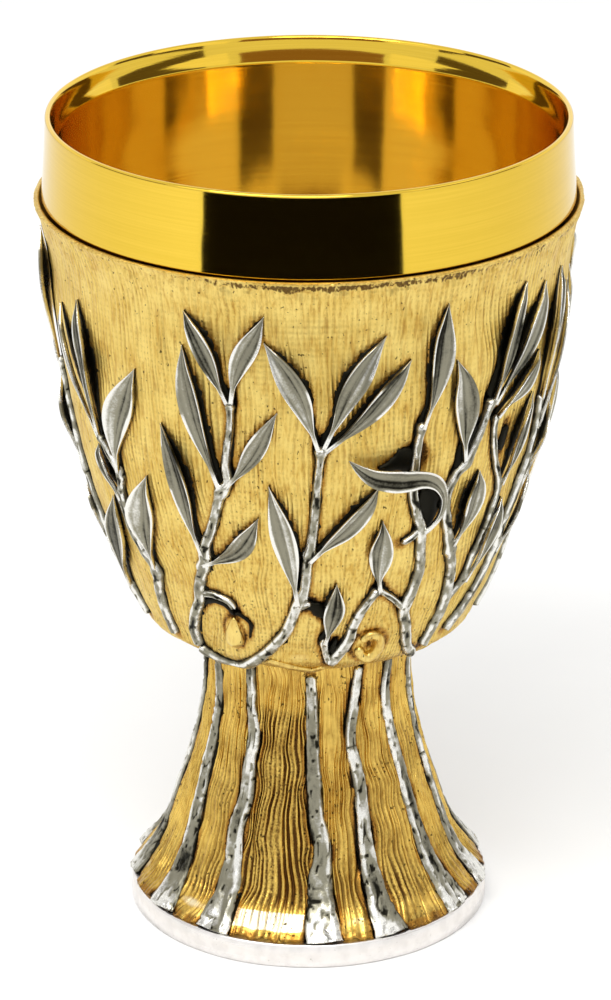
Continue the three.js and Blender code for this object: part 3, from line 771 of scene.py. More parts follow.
def foot_stain_and_glint(angles, z):
    """How dark the grooves are: darkest in the front panel and low down, clear at the neck; negative in a painted
    highlight band.
    """
    panel = np.abs(half_turn(angles + 15))
    front = ramp(20, 15, panel) * ramp(54, 50, z)
    patches = ramp(-0.25, 0.55, around(angles, 11, z / 20, 32)) * ramp(60, 30, z)
    low = 0.45 * ramp(22, 12, z)
    # Painted highlight in a band about 9 mm up, given as negative values that lay on the glint colour
    glints = 0.35 + 1.2 * ramp(26, 14, panel) + 0.5 * around(angles, 40, 0.5, 38)
    painted_highlight_band = bell(z - 8.9, 1.7) * glints
    dark = np.clip(0.10 + np.maximum(front, 0.55 * patches) + low, 0, 1)
    return dark * (1 - np.clip(painted_highlight_band, 0, 1)) - painted_highlight_band


def calyx_stain_and_glint(angles, z):
    """The bowl's grooves are clean, apart from faint drifts and the stretch among the stems low down."""
    drift = ramp(0.0, 0.7, around(angles, 24, z / 12, 33))
    # A spot among the low stems is kept clean and given a little painted highlight
    x, y = surface_gap(CALYX, angles, z, (-3, 71.5))
    smooth = np.exp(-np.hypot(x / 5, y / 2.6) ** 4)
    dark = np.clip(0.30 + 0.3 * drift + 0.3 * ramp(92, 74, z), 0, 1)
    return dark * (1 - smooth) - 0.2 * smooth


# ---- the two ribbed castings

def ribbed_casting(surface, ribs, crests, row_arcs, relief, inside):
    """A closed casting: ribbed outer rows up the surface, then plain rows down the inside and back.

    `crests` is the rib height (0 to 1) of each column within a rib. `relief` has functions of angle and height for
    the ribs' drift, the shade (patina and painted shadow), the stain (with a painted highlight where negative),
    the notches, the lift and the edge. `inside` is the list of (radius, height) rows that close the shape.
    """
    columns = ribs * len(crests)
    jitter = np.append(np.random.default_rng(ribs).uniform(-0.28, 0.28, ribs), 0)
    jitter[-1] = jitter[0]
    number = np.arange(columns) / len(crests)
    base_angle = (number + np.interp(number, np.arange(ribs + 1), jitter)) * 360 / ribs
    angles, z = np.meshgrid(base_angle, surface.height_at(row_arcs))
    strength = np.clip(0.7 + 0.5 * noise(np.floor(number), z / 8, ribs, seed=34), 0.15, 1.2)
    angles = angles + relief["drift"](angles, z) * 360 / ribs
    crest = 0.5 + (np.tile(crests, ribs) - 0.5) * strength
    shade = relief["shade"](angles, z)
    outer = relief["edge"](surface.point(angles, z, relief["lift"](angles, z, crest, shade)), angles, z)
    radii, heights = np.array(inside, float).T[:, :, None]
    points = np.concatenate([outer, polar(radii, base_angle, heights)])
    outer_marks = {
        "rib": (crest, 0.5), "shade": (shade, 0.15), "stain": (relief["stain"](angles, z), 0.2),
        "along": (np.asarray(row_arcs)[:, None] + 0 * z, 0), "notch": (relief["notch"](angles, z), 0),
    }
    rest = np.zeros((len(inside), columns))
    marks = {mark: np.concatenate([values, rest + plain]) for mark, (values, plain) in outer_marks.items()}
    shells = Shells()
    shells.add(points.reshape(-1, 3), grid_quads(len(points), columns, wrap_rows=True), **marks)
    return shells


CALYX_RIBS = 300
FOOT_RIBS, FOOT_ROWS = 168, 92
TEARDROP = (-23.8, 77.2)
KNOB = (19.6, 74.1)


def calyx_drift(angles, z):
    """The ribs wander sideways, more so low down among the stems."""
    low = ramp(120, 76, z)
    return around(angles, 26, z / 17, 3) * (1.2 + 1.6 * low) + around(angles, 60, z / 7, 4) * (0.35 + 0.9 * low)


def surface_gap(surface, angles, z, place):
    """The distance in millimetres from a place on the surface, as (sideways, along)."""
    return np.radians(half_turn(angles - place[0])) * surface.radius(z), surface.arc(z) - surface.arc(place[1])


def calyx_lift(angles, z, crest, shade):
    """Ribs, slow unevenness, hollows beside the leaves and nicks under the lip."""
    uneven = 0.16 * around(angles, 48, z / 6, 5) + 0.08 * around(angles, 130, z / 2.4, 6)
    rib = 0.20 * (crest - 0.4) * ramp(64, 72, z)
    hollow = -0.5 * ramp(0.25, 0.9, shade)
    nick = np.maximum(around(angles, 300, z / 0.9, 7) - 0.1, 0) * bell(z - CALYX_LIP_Z + 1.8, 1.2)
    swell = 0.5 * around(angles, 15, 0.5, 35) * bell(z - 67, 2.4)
    return uneven + rib + hollow - 0.7 * nick + swell


def calyx_marks(angles, z):
    """Patina and painted shadow beside the sprigs and round the teardrop and the knob, and painted shade in the
    knob's hollow.
    """
    shade = calyx_shade(angles, z)
    for place, reach in ((TEARDROP, (2.2, 4.3)), (KNOB, (3.7, 4.3))):
        x, y = surface_gap(CALYX, angles, z, place)
        shade += 0.55 * bell(np.hypot(x / reach[0], y / reach[1]) - 1.05, 0.2)
    x, y = surface_gap(CALYX, angles, z, KNOB)
    return shade + 0.9 * bell(np.hypot(x, y), 1.0)


def calyx_notches(angles, z):
    """How dense the fine dark notches under the lip are: in stretches, each hanging to its own depth."""
    below = CALYX_LIP_Z - 0.3 - z
    depth = 1.1 + 0.9 * around(angles, 90, 0.5, 36)
    stretch = ramp(-0.25, 0.35, around(angles, 13, 0.5, 9))
    front = ramp(36, 26, np.abs(half_turn(angles - 5)))
    return (0.25 + 0.50 * front + 0.45 * stretch) * ramp(depth + 0.9, depth - 0.2, below) * (below > 0)


def calyx_lip(outer, angles, z):
    """The lip's edge rises and falls a little."""
    wave = 0.35 * around(angles, 22, 0.5, 10) + 0.16 * around(angles, 110, 0.5, 11)
    outer[..., 2] += ramp(CALYX_LIP_Z - 4, CALYX_LIP_Z, z) * (wave - 0.15)
    return outer


def add_gold(shells, route, widths, height, seed):
    """A smooth gold drop or roll laid on the bowl, as wide and as high as told along its route."""
    strip = Strip(CALYX, route, seed, 0.25, 24)
    s = across(13)
    half = strip.half(widths)
    half = (half * strip.rounded_ends(half))[:, None]
    swell = half / half.max() * (1 + 0.08 * strip.noise(1.2, s, 37))
    top = 0.15 + height * swell * np.sqrt(np.maximum(1 - s ** 2, 0))
    # The negative groove mark gives the drop and rolls a little painted highlight
    strip.add_to(shells, half, s, strip.line[:, 2:] + top, -0.5, rib=0.9, shade=0, stain=-0.16, along=0, notch=0)


def calyx_bowl():
    rib_from, rib_to = CALYX.arc(70), CALYX.arc(158.5)
    arcs = np.concatenate([
        np.linspace(0, rib_from, 9, endpoint=False), np.linspace(rib_from, rib_to, 72, endpoint=False),
        np.linspace(rib_to, CALYX.length, 10),
    ])
    lip, top = CALYX_LIP_RADIUS, CALYX_LIP_Z
    floor_z, recess_radius, recess_z = JOINT_Z + 4.3, 12.3, JOINT_Z + 2.3
    inside = [(lip - 0.4, top + 0.2), (lip - 1.0, top + 0.15), (lip - 1.3, top - 1.0), (lip - 2.8, top - 3.2)]
    inside += [(CALYX.radius(z) - CALYX_WALL, z) for z in (150, 130, 110, 94, 82, 76)]
    inside += [(33, 70.4), (30.5, floor_z), (HOLE_RADIUS, floor_z), (HOLE_RADIUS, recess_z)]
    inside += [(recess_radius, recess_z), (recess_radius, JOINT_Z)]
    relief = {
        "drift": calyx_drift, "shade": calyx_marks, "stain": calyx_stain_and_glint, "notch": calyx_notches,
        "lift": calyx_lift, "edge": calyx_lip,
    }
    shells = ribbed_casting(CALYX, CALYX_RIBS, (1.0, 0.25, 0.1), arcs, relief, inside)
    angle, z = TEARDROP
    drop = [(angle + 1, z + 4.1), (angle, z), (angle - 0.5, z - 3.7)]
    add_gold(shells, drop, (0.9, 2.4, 3.7, 4.3, 3.8), 1.6, 1)
    angle, z = KNOB
    curl = [(angle + 3.4 * math.sin(a), z + 3.1 * math.cos(a)) for a in np.radians(np.arange(-60, 290, 30))]
    add_gold(shells, curl, (1.4, 2.3, 2.5, 2.4, 2.0), 1.4, 2)
    add_gold(shells, [(-14, 70.4), (-6, 68.6), (0.8, 67.2), (5.2, 68.6)], (1.2, 2.2, 2.4, 1.6), 0.6, 3)
    return install(shells.build("calyx", CALYX_GILT), "root", "cast_gilt", "calyx_bowl")


def foot_drift(angles, z):
    return 1.1 * around(angles, 22, z / 14, 12) + 0.7 * around(angles, 50, z / 5, 13)


def foot_lift(angles, z, crest, shade):
    """Deep ribs that fade into the joint above, and hollows beside the branches."""
    uneven = 0.22 * around(angles, 30, z / 5, 14) + 0.10 * around(angles, FOOT_RIBS * 3 // 4, z / 1.3, 15)
    rib = (crest - 0.5) * (0.12 + 0.42 * ramp(64, 54, z) * ramp(6.5, 13, z))
    return 0.35 + uneven + rib - 0.4 * ramp(0.3, 0.9, shade)


def foot_drips(outer, angles, z):
    """The ribs' lower ends hang over the ring's edge by different amounts."""
    hang = around(angles, FOOT_RIBS, 0.5, 16)
    outer[..., 2] += ramp(8.5, FOOT_BOTTOM_Z, z) * (0.25 + 0.65 * hang)
    return outer


def foot_casting():
    arcs = np.linspace(0, FOOT.length, FOOT_ROWS)
    seat_z = node_box("foot")[1][2]
    inside = [(12, JOINT_Z - 0.05), (12, seat_z), (HOLE_RADIUS, seat_z), (HOLE_RADIUS, 60), (19, 60), (19.1, 54)]
    inside += [(FOOT.radius(z) - FOOT_WALL, z) for z in (46, 40, 34, 25, 18, 13)]
    inside += [(33, 9), (35.6, FOOT_BOTTOM_Z + 0.1)]
    relief = {
        "drift": foot_drift, "shade": foot_shade, "stain": foot_stain_and_glint, "notch": lambda angles, z: 0 * z,
        "lift": foot_lift, "edge": foot_drips,
    }
    shells = ribbed_casting(FOOT, FOOT_RIBS, (1.0, 0.7, 0.1, 0.0, 0.55), arcs, relief, inside)
    return install(shells.build("foot_casting", FOOT_GILT), "root", "cast_gilt", "foot")


# ---- leaves, stems and other strips laid on a surface

def across(count):
    """Places across a strip from -1 to 1, closer together towards its edges."""
    return np.sin(np.linspace(-1, 1, count) * math.pi / 2)[None, :]


class Strip:
    """A route laid along a surface, for what follows it.

    `line` is its middle as (angle, height, lift) rows. `along` is the distance along it in millimetres, and `t`
    the same from 0 to 1. `seed` sets its noise apart from the other strips'.
    """

    def __init__(self, surface, route, seed, spacing=0.45, least=12):
        length = surface.distances(path(route, 40))[-1]
        line = path(route, max(least, int(length / spacing)))
        if line.shape[1] == 2:
            line = np.column_stack([line, np.zeros(len(line))])
        self.surface, self.line, self.seed = surface, line, seed
        self.along = surface.distances(line)
        self.t = self.along / self.along[-1]

    def half(self, widths):
        return spread(widths, self.t) / 2

    def noise(self, cell, v, seed):
        """Smooth noise in cells of so many millimetres along the strip, for every station or (station, across)."""
        along = self.along[:, None] if np.ndim(v) else self.along
        return noise(along / cell + self.seed, v, seed=seed)

    def upper_edge(self):
        """Which edge lies higher on the surface: 1 for the right one, -1 for the left."""
        return -1.0 if self.line[-1, 0] > self.line[0, 0] else 1.0

    def rounded_ends(self, half, both=True):
        """A factor on the half width that closes the start, and the end too with `both`, in a half round."""
        to_end = self.along[-1] - self.along if both else FAR
        reach = np.minimum(self.along, to_end) / np.maximum(half, 1e-3)
        return np.sqrt(1 - (1 - np.clip(reach, 0.02, 1)) ** 2)

    def ragged(self, left, right, s, slow, quick, places):
        """Half widths over `s`, each side roughened by a slow and a quick noise of (share, cell, seed)."""
        left, right = (
            half * (1 + sum(share * self.noise(cell, place, seed) for share, cell, seed in (slow, quick)))
            for half, place in zip((left, right), places)
        )
        return np.where(s < 0, left[:, None], right[:, None])

    def add_patina_and_shadow_patch(self, shells, left, right, top=0.3):
        """A crisp black patch on the ground, patina and painted shadow, with its ragged left and right half widths
        given along the line.
        """
        s = np.linspace(-1, 1, 9)[None, :]
        ends = self.rounded_ends(np.maximum(left, right))
        half = self.ragged(left * ends, right * ends, s, (0.30, 1.3, 41), (0.22, 0.5, 42), (0.5, 5.5))
        self.add_to(shells, half, s, top - 0.5 * np.abs(s) ** 4 + 0 * half, -0.8, tarnish=1.25)

    def add_to(self, shells, half, s, top, bottom, **marks):
        """A closed shell along the strip.

        `half` is its half width, `s` runs from -1 to 1 across it, and `top` and `bottom` are its lifts. The marks
        are values over the top, and the underside takes the edge's.
        """
        surface, line = self.surface, self.line
        radius, arc = surface.radius(line[:, 1]), surface.arc(line[:, 1])
        ahead = np.gradient(np.stack([np.radians(line[:, 0]) * radius.mean(), arc], -1), axis=0)
        ahead /= np.maximum(np.linalg.norm(ahead, axis=1), 1e-9)[:, None]
        right = np.stack([ahead[:, 1], -ahead[:, 0]], -1)
        stations, wide = top.shape
        count = stations * wide

        def lay(lift, inset):
            sideways = right[:, None, :] * (half * s * inset)[..., None]
            angle = line[:, :1] + np.degrees(sideways[..., 0] / radius[:, None])
            z = surface.height_at(np.clip(arc[:, None] + sideways[..., 1], 0, surface.length))
            return surface.point(angle, z, lift).reshape(-1, 3)

        upper = grid_quads(stations, wide, wrap_columns=False)
        quads = [upper, upper[:, ::-1] + count]
        k, c, last = np.arange(stations - 1), np.arange(wide - 1), (stations - 1) * wide
        borders = [(k * wide, (k + 1) * wide, 1), ((k + 1) * wide - 1, (k + 2) * wide - 1, -1)]
        borders += [(c, c + 1, -1), (last + c, last + c + 1, 1)]
        for start, end, turn in borders:
            quads.append(np.stack([start, end, end + count, start + count], -1)[:, ::turn])
        for mark, values in marks.items():
            values = np.broadcast_to(values, top.shape)
            marks[mark] = np.concatenate([values, np.repeat(values[:, -1:], wide, 1)])
        shells.add(np.concatenate([lay(top, 1.0), lay(bottom, 0.9)]), np.concatenate(quads), **marks)


def add_leaf(shells, route, widths, tone, seed, folded=False):
    """A dished blade with raised edges and a grooved midrib, one half painted darker as shade, and beside its
    upper side a patch of patina and painted shadow.

    `widths` is the blade's full width, or for a folded leaf its widths along it.
    """
    random = np.random.default_rng(seed)
    strip = Strip(CALYX, route, seed, 0.5, 34)
    s = across(23)
    width = np.max(widths)
    half = strip.half(widths) if folded else leaf_half_width(strip.t, width)
    upper = strip.upper_edge()
    # A black patch beside the leaf's upper edge: patina and painted shadow under the raised blade
    if not folded:
        patchy = (0.75 + 0.5 * strip.noise(3.2, 0.5, 40)) * (1 - 0.6 * side_on(route))
        reach = np.interp(strip.t, (0, 0.12, 0.24, 0.5, 0.9, 1), (1.2, 1.3, 0.55, 0.14, 0.0, -0.1)) * patchy
        near, far = half * 0.8, half + reach * (1.0 if upper > 0 else 0.7)
        strip.add_patina_and_shadow_patch(shells, *((near, far) if upper > 0 else (far, near)))

    t, half = strip.t[:, None], half[:, None]
    blade = np.sin(math.pi * np.clip(t, 0.02, 1)) ** 0.6
    tilt = upper * random.uniform(0.10, 0.34) * blade
    curl = 0.18 * np.sin(t * math.pi * random.uniform(1.5, 3) + random.uniform(0, 6)) * blade
    fold, side = np.abs(s), np.sign(s)
    body = np.clip(half / (width / 2), 0, 1)
    half = half * (1 + random.uniform(-0.16, 0.16) * side * np.sin(math.pi * t))
    rim_from = 0.74 + 0.09 * noise(t * 4 + seed, side, seed=22)
    rim = ramp(rim_from - 0.10, rim_from + 0.08, fold) * ramp(1.06, 0.97, fold)
    midrib = s - 0.12 * np.sin(3 * t + seed)
    groove = bell(midrib, 0.13)
    pillow = np.sin(np.clip(fold / 0.8, 0, 1) * math.pi) ** 1.2
    top = 0.66 + 0.16 * (1 - body) + body * (0.42 * rim + 0.16 * pillow - 0.22 * groove)
    top = top * (0.35 + 0.65 * ramp(1.0, 0.84, t))
    base = strip.line[:, 2:] + half * s * tilt + curl * s + 0.30 * fold ** 2 * body

    # One half of the blade is painted darker as shade
    painted_shade_half = random.choice((-1, 1)) * np.tanh(midrib * 3)
    lengthwise = random.uniform(-0.10, 0.14) * (t - 0.5) * 2
    tarnish = 0.57 + 0.14 * tone + 0.30 * groove - 0.12 * bell(midrib - 0.22, 0.10) + 0.15 * painted_shade_half
    tarnish = tarnish + lengthwise + 0.12 * bell(fold - rim_from + 0.12, 0.09)
    tarnish = tarnish + 0.16 * noise(t * 3 + seed, s * 1.1 + 2, seed=21)
    worn_edge = ramp(-0.75, -0.2, noise(t * 5 + seed, side * 2, seed=43))
    bright = ramp(rim_from - 0.02, rim_from + 0.10, fold) * worn_edge + ramp(0.22, 0.05, t)
    bright = np.clip(bright, 0, 1)
    tarnish = np.clip(tarnish * (1 - bright) + 0.05 * bright, 0, 1)
    strip.add_to(shells, half, s, base + top, base + 0.08, tarnish=tarnish)


def add_stem(shells, route, widths, seed, crown, knots):
    """A branch with bright edges, hollow cells along its back, a knot at each fork, and patina and painted shadow
    at both sides.
    """
    strip = Strip(CALYX, route, seed)
    s = np.linspace(-1, 1, 15)[None, :]
    swell = sum((bell((strip.t - k) * strip.along[-1], 1.2) for k in knots), np.zeros(len(strip.t)))
    half = strip.half(widths) * (1 + 0.36 * swell)
    left, right = (
        half * (1 + gap * ramp(-0.4, 0.4, strip.noise(2.1, side, 44)))
        for gap, side in ((0.2, 0.5), (0.5, 6.5))
    )
    # Patina and painted shadow on the ground at both sides of the stem
    strip.add_patina_and_shadow_patch(shells, left + 0.05, right + 0.1, 0.2)

    half = half * strip.rounded_ends(half)
    half = strip.ragged(half, half, s, (0.10, 2.2, 23), (0.06, 0.8, 24), (2.5, 7.5))
    round_off = np.minimum(1, half / (np.mean(widths) / 2 * 0.7))
    cells = ramp(-0.3, 0.3, strip.noise(2.8, 1.5, 25))[:, None]
    hollow = cells * bell(s - 0.30 * strip.noise(3.1, 3.5, 26)[:, None], 0.40)
    lump = strip.noise(1.8, s * 1.4 + 3, 27)
    arch = np.maximum(1 - np.abs(s) ** 3, 0) ** 0.55
    top = crown * round_off * arch * (1 + 0.08 * lump + 0.18 * swell[:, None]) - 0.30 * hollow
    edge = bell(np.abs(s) - 0.66, 0.17) * ramp(-0.8, -0.2, strip.noise(1.7, np.sign(s), 30))
    pits = ramp(0.60, 0.76, strip.noise(1.0, s * 2 + 40, 54))
    # The darkening at both edges is patina and painted shade where the stem meets the ground
    shade = 0.37 + 0.42 * hollow - 0.46 * edge + 0.6 * ramp(0.86, 1.0, np.abs(s)) - 0.20 * lump
    shade = shade + 0.12 * strip.noise(0.9, s * 3 + 9, 29) + 0.55 * pits
    strip.add_to(shells, half, s, strip.line[:, 2:] + top, -0.5, tarnish=np.clip(shade, 0, 1))


def add_bark(shells, route, widths, seed):
    """A foot branch: a low ribbon that widens to the ring, one edge a bright ridge and the other cracked dark, a
    patch of patina and painted shadow beside it and a painted highlight near the ring.
    """
    random = np.random.default_rng(seed)
    strip = Strip(FOOT, route, seed, 0.4)
    s = across(29)
    half = strip.half(widths) * random.uniform(0.88, 1.12)
    side = random.choice((-1, 1))
    dark = ramp(-0.1, 0.5, strip.noise(4.5, 0.5, 45))
    # A patch of patina and painted shadow beside the branch, wider at one side
    strip.add_patina_and_shadow_patch(shells, *(half * 1.04 + gap * dark for gap in ((1.4, 0.25) if side > 0 else (0.25, 1.4))), 0.42)

    half = half * strip.rounded_ends(half, both=False)
    half = strip.ragged(half, half, s, (0.15, 3.5, 46), (0.08, 1.1, 47), (1.5, 8.5))
    x = half * s
    ridge = bell(s * side - 0.62, 0.20)
    cracks = bell(strip.noise(4.2, x / 1.2 + 20, 48), 0.12)
    cracks = cracks * ramp(-0.1, 0.4, strip.noise(3.0, x / 2 + 40, 49))
    pits = ramp(0.50, 0.70, strip.noise(1.1, x / 0.8 + 60, 50))
    lump = strip.noise(1.6, x / 1.2 + 80, 51)
    arch = np.maximum(1 - np.abs(s) ** 4, 0) ** 0.6
    body = np.minimum(1, half / 0.9)
    top = 0.40 + body * arch * (0.62 + 0.30 * ridge + 0.14 * lump) - 0.25 * cracks - 0.30 * pits
    patches = strip.noise(7, x / 1.8 + 100, 52)
    grain = strip.noise(0.7, x / 0.5 + 120, 53)
    shade = 0.49 + 0.40 * patches + 0.10 * grain + 0.60 * cracks + 0.55 * pits - 0.40 * ridge - 0.10 * lump
    # Brighter towards the ring: painted highlight
    shade = shade + 0.45 * ramp(0.82, 1.0, -s * side) - 0.5 * ramp(0.88, 1.0, strip.t)[:, None]
    strip.add_to(shells, half, s, top, -0.5, tarnish=np.clip(shade, 0, 1))


def knots_on(stem, leaves):
    """Where along a stem, from 0 to 1, the leaves spring from it."""
    line = path(stem, 60)
    gaps = [np.hypot((line[:, 0] - leaf[0]) * MM_PER_DEGREE, line[:, 1] - leaf[1]) for leaf in leaves]
    return [gap.argmin() / (len(line) - 1) for gap in gaps if gap.min() < 3]


def sprig(name, layout, number):
    shells = Shells()
    # Black patches of patina and painted shadow on the ground
    for k, (route, widths) in enumerate(layout.get("patina_and_shadow_patches", ())):
        strip = Strip(CALYX, route, 10 * number + k)
        strip.add_patina_and_shadow_patch(shells, strip.half(widths), strip.half(widths), 0.45)
    for k, stem in enumerate(layout["stems"]):
        widths, crown = (STEM_WIDTHS, 1.25) if k == 0 else (TWIG_WIDTHS, 0.95)
        add_stem(shells, stem, widths, 10 * number + k, crown, knots_on(stem, layout["leaves"]))
    for k, leaf in enumerate(layout["leaves"]):
        add_leaf(shells, leaf_route(leaf), (leaf[WIDTH],), leaf[TONE], 100 * number + k)
    for k, (route, widths, tone) in enumerate(layout.get("folded", ())):
        add_leaf(shells, route, widths, tone, 100 * number + 50 + k, folded=True)
    return install(shells.build(name + "_silver", OLD_SILVER), "root", "oxidised_silver", name)


def foot_branch(number, route):
    node = f"foot_branch_{number:02d}"
    shells = Shells()
    add_bark(shells, route, FOOT_BRANCH_WIDTHS, 7 * number)
    return install(shells.build(node + "_silver", OLD_SILVER), "root", "oxidised_silver", node)


# ---- turned pieces

def liner():
    """The drinking cup, with a rounded lip and a roll under its band."""
    lip, roll = 0.6, 0.4
    outline = [(0, LINER_BOTTOM_Z), (12, LINER_BOTTOM_Z), (21, 75.2), (28, 79), (33.4, 84.5), (37.6, 91.5)]
    outline += [(41.4, 100), (45.2, 112), (48.2, 126), (50.2, 140), (51.6, 152), (53.2, 159), (53.9, 161.2)]
    outline += [(54.7, BAND_BOTTOM_Z - 0.1)]
    outline += arc_points((BAND_RADIUS - roll, BAND_BOTTOM_Z + roll), roll, -90, 0, 9)
    outline += [(BAND_RADIUS - 0.01, BAND_BOTTOM_Z + roll + 0.12), (BAND_RADIUS - 0.14, 164.5)]
    outline += [(BAND_RADIUS - 0.38, 168), (BAND_RADIUS - 0.78, 174), (RIM_RADIUS + 0.01, HEIGHT - lip - 0.15)]
    outline += arc_points((RIM_RADIUS - lip, HEIGHT - lip), lip, 0, 155, 15)
    outline += [(53.72, 179.2), (53.55, 178.5), (53.3, 177.4), (52.85, 176), (52.42, 174.95), (52.3, 174.5)]
    outside = len(outline)
    outline += [(52.26, 174), (52, 165), (51.2, 158), (50.3, 150), (49, 140)]
    outline += [(47, 126), (44, 112), (40.2, 100), (36.5, 91.9), (32.5, 85.4), (27.2, 80.1), (20.5, 76.4)]
    outline += [(11.8, 74.6), (4, 74.5), (0, 74.5)]
    cup = turned("liner", outline, POLISHED_GILT, segments=360, inside_from=outside)
    return install(cup, "root", "polished_gilt", "liner_cup")


def ring():
    top = node_box("base_ring")[1][2] - 1.2
    chamfer = 0.35
    outline = [(33.4, 0.35), (33.75, 0), (BASE_RADIUS - chamfer, 0), (BASE_RADIUS, chamfer)]
    outline += [(BASE_RADIUS, top / 2), (BASE_RADIUS, top - chamfer), (BASE_RADIUS - chamfer, top)]
    outline += [(34.2, top), (34.2, top + 1.2), (33.4, top + 1.2)]

    def dented(rows, angles):
        outer = (rows[:, :1] > BASE_RADIUS - 1).astype(float)
        return outer * 0.07 * around(angles, 40, rows[:, 1:] / 3, 17)

    band = turned("ring", outline, BRIGHT_SILVER, segments=360, closed=True, wobble=dented)
    return install(band, "root", "bright_silver", "base_ring")


def threaded_rod():
    """The tie rod's end with its real M8 thread, and a plain shank above."""
    low, high = node_box("tie_rod")
    pitch, depth, thread_top, tip = 1.25, 0.62, 59.5, 1.0
    turns = np.arange(low[2] + 0.7, thread_top, pitch / 8)[:, None]
    angles = circle(48)
    phase = (turns / pitch - angles / 360) % 1
    thread = ROD_RADIUS - depth * (1 - np.abs(2 * phase - 1)) * ramp(thread_top, thread_top - 1, turns)
    radius = np.vstack([ROD_RADIUS - tip + 0 * angles, thread, ROD_RADIUS + 0 * angles])
    heights = np.vstack([low[2:], turns, high[2:]])
    rod = revolved("threaded_rod", radius, heights, BRASS, (low[2], high[2]))
    return install(rod, "root", "fixing_brass", "tie_rod")


def boss():
    low, high = node_box("cup_boss")
    chamfer, radius, bore = 0.6, high[0], ROD_RADIUS + 0.1
    outline = [(0, 72.6), (bore, 72.6), (bore, low[2]), (radius - chamfer, low[2]), (radius, low[2] + chamfer)]
    outline += [(radius, high[2] - chamfer), (radius - chamfer, high[2]), (0, high[2])]
    return install(turned("boss", outline, BRASS, 96), "root", "fixing_brass", "cup_boss")


def washer():
    low, high = node_box("rod_washer")
    edge, radius = 0.25, high[0]
    outline = [(HOLE_RADIUS + edge, low[2]), (radius - edge, low[2]), (radius, low[2] + edge)]
    outline += [(radius, high[2] - edge), (radius - edge, high[2]), (HOLE_RADIUS + edge, high[2])]
    outline += [(HOLE_RADIUS, high[2] - edge), (HOLE_RADIUS, low[2] + edge)]
    return install(turned("washer_ring", outline, BRASS, 96, closed=True), "washer", "fixing_brass", "rod_washer")


def nut():
    """A hexagon nut with its corners turned off at both faces and a countersunk bore."""
    low, (_, flats, top) = node_box("rod_nut")
    bottom = low[2]
    bore, sink, turned_off = ROD_RADIUS + 0.1, 0.6, 0.55
    to_flat = (circle(96) - 90) % 60 - 30
    hexagon = flats / np.cos(np.radians(to_flat))
    ends, plain = np.minimum(hexagon, flats - 0.2), 0 * hexagon
    rows = [
        (ends, bottom), (hexagon, bottom + turned_off), (hexagon, top - turned_off), (ends, top),
        (plain + bore + sink, top), (plain + bore, top - sink), (plain + bore, bottom + sink),
        (plain + bore + sink, bottom),
    ]
    radius, heights = np.array([row[0] for row in rows]), np.array([row[1] for row in rows])[:, None]
    piece = revolved("hex_nut", radius, heights, BRASS, smooth=False)
    return install(piece, "nut", "fixing_brass", "rod_nut")


# ---- the whole chalice

liner()
boss()
threaded_rod()
washer()
nut()
calyx_bowl()
foot_casting()
ring()
for number, (name, layout) in enumerate(SPRIGS.items(), 1):
    sprig(name, layout, number)
for number, route in enumerate(FOOT_BRANCHES, 1):
    foot_branch(number, route)


# ---- camera, floor and light

# In metres and degrees, as is the whole studio. The tilt is 0 straight down and 90 level.
CAMERA_PLACE, CAMERA_TILT, CAMERA_LENS = (-0.00075, -0.9763, 0.4914), 67.78, 176.83
LIGHT_TARGET = Vector((0, 0, 0.09))
RIM_CARD_RADIUS = 0.0595
RIM_LIGHT = ((RIM_CARD_RADIUS, 0.2035), (RIM_CARD_RADIUS, 0.236), colour(1.2, 1.17, 1.1))
SIDE_SHEEN = ((1.0, 0.32), (1.0, 0.60), colour(0.13, 0.10, 0.075))

# Each card's two azimuths, its near and far edge as (radius, height), and its colour
CARDS = {
    "front_floor_card": ((-44, 38), (0.42, 0.002), (1.6, 0.004), colour(0.006, 0.005, 0.004)),
    "rim_flag": ((-50, 46), (RIM_CARD_RADIUS, 0.208), (RIM_CARD_RADIUS, 0.242), colour(0.32, 0.18, 0.11)),
    "rim_light_left": ((-108, -54), *RIM_LIGHT),
    "rim_light_right": ((54, 108), *RIM_LIGHT),
    "right_card": ((50, 100), *SIDE_SHEEN),
    "left_card": ((-110, -62), *SIDE_SHEEN),
    "back_card": ((104, 256), (1.0, 0.25), (1.0, 0.75), colour(1.2, 1.18, 1.15)),
}


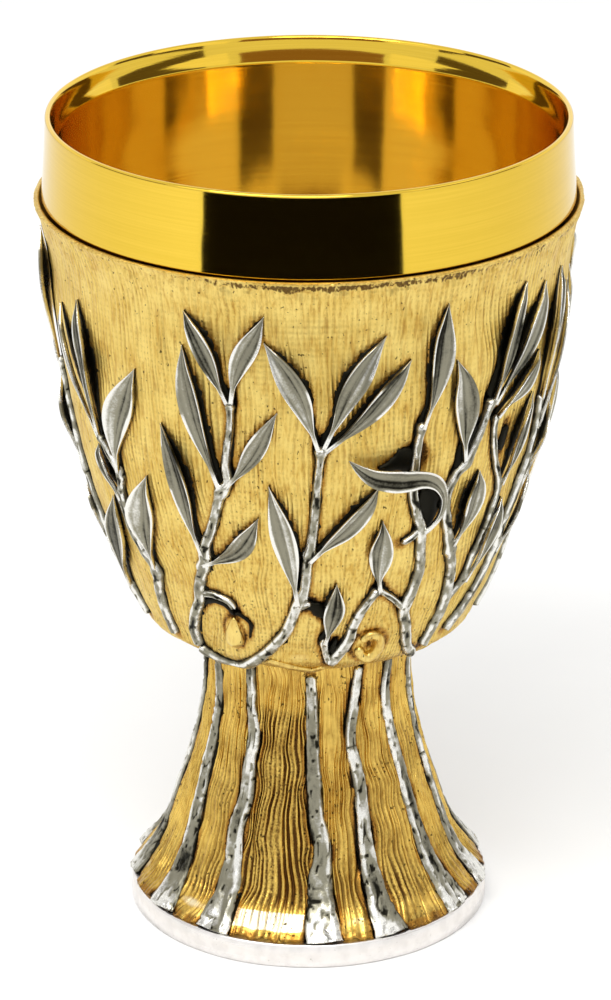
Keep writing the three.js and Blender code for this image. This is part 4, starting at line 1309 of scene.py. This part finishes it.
def camera():
    data = bpy.data.cameras.new("camera")
    data.lens, data.sensor_width = CAMERA_LENS, 36
    obj = bpy.data.objects.new("camera", data)
    obj.location = CAMERA_PLACE
    obj.rotation_euler = (math.radians(CAMERA_TILT), 0, 0)
    bpy.context.collection.objects.link(obj)
    bpy.context.scene.camera = obj


def stage_mesh(name, points, quads, material):
    """A piece of the studio, which isn't part of the chalice. Its points are in metres."""
    obj = add_mesh(name, np.array(points) / MM, quads, material)
    return obj


def card(name, azimuths, near, far, tone):
    """A plain card that only reflections see, between two azimuths, from one (radius, height) to another."""
    n = Nodes(name)
    n.tree.nodes.remove(n.shader)
    glow = n.add("Emission", {"Color": tone})
    n.tree.links.new(glow.socket, n.tree.nodes["Material Output"].inputs["Surface"])
    turns = np.linspace(*azimuths, 13)
    points = np.concatenate([polar(radius, turns, z) for radius, z in (near, far)])
    obj = stage_mesh(name, points, grid_quads(2, len(turns), wrap_columns=False), n.material)
    obj.visible_camera = obj.visible_diffuse = obj.visible_shadow = False


def area_light(name, place, size, power):
    data = bpy.data.lights.new(name, "AREA")
    data.shape, data.size, data.size_y, data.energy = "RECTANGLE", size[0], size[1], power
    obj = bpy.data.objects.new(name, data)
    obj.location = place
    obj.rotation_euler = (LIGHT_TARGET - Vector(place)).to_track_quat("-Z", "Y").to_euler()
    bpy.context.collection.objects.link(obj)


def studio():
    """A pale floor, a white world, three lamps, and cards that give the polished cup its bands."""
    side = 3.0
    corners = [(x, y, 0) for y in (-side, side) for x in (-side, side)]
    stage_mesh("floor", corners, grid_quads(2, 2, wrap_columns=False), pale_floor())
    for name, spec in CARDS.items():
        card(name, *spec)
    world = bpy.data.worlds.new("studio")
    world.use_nodes = True
    world.node_tree.nodes["Background"].inputs["Color"].default_value = (1, 1, 1, 1)
    world.node_tree.nodes["Background"].inputs["Strength"].default_value = 1.0
    bpy.context.scene.world = world
    bpy.context.scene.view_settings.view_transform = "Standard"
    area_light("key", (-0.9, -0.9, 1.3), (0.9, 0.9), 2)
    area_light("fill", (1.2, -0.5, 0.9), (0.8, 1.0), 1)
    area_light("overhead", (-0.22, -0.77, 1.2), (1.1, 0.35), 11)


camera()
studio()
bpy.context.scene.cycles.max_bounces = 16
bpy.context.scene.cycles.glossy_bounces = 14
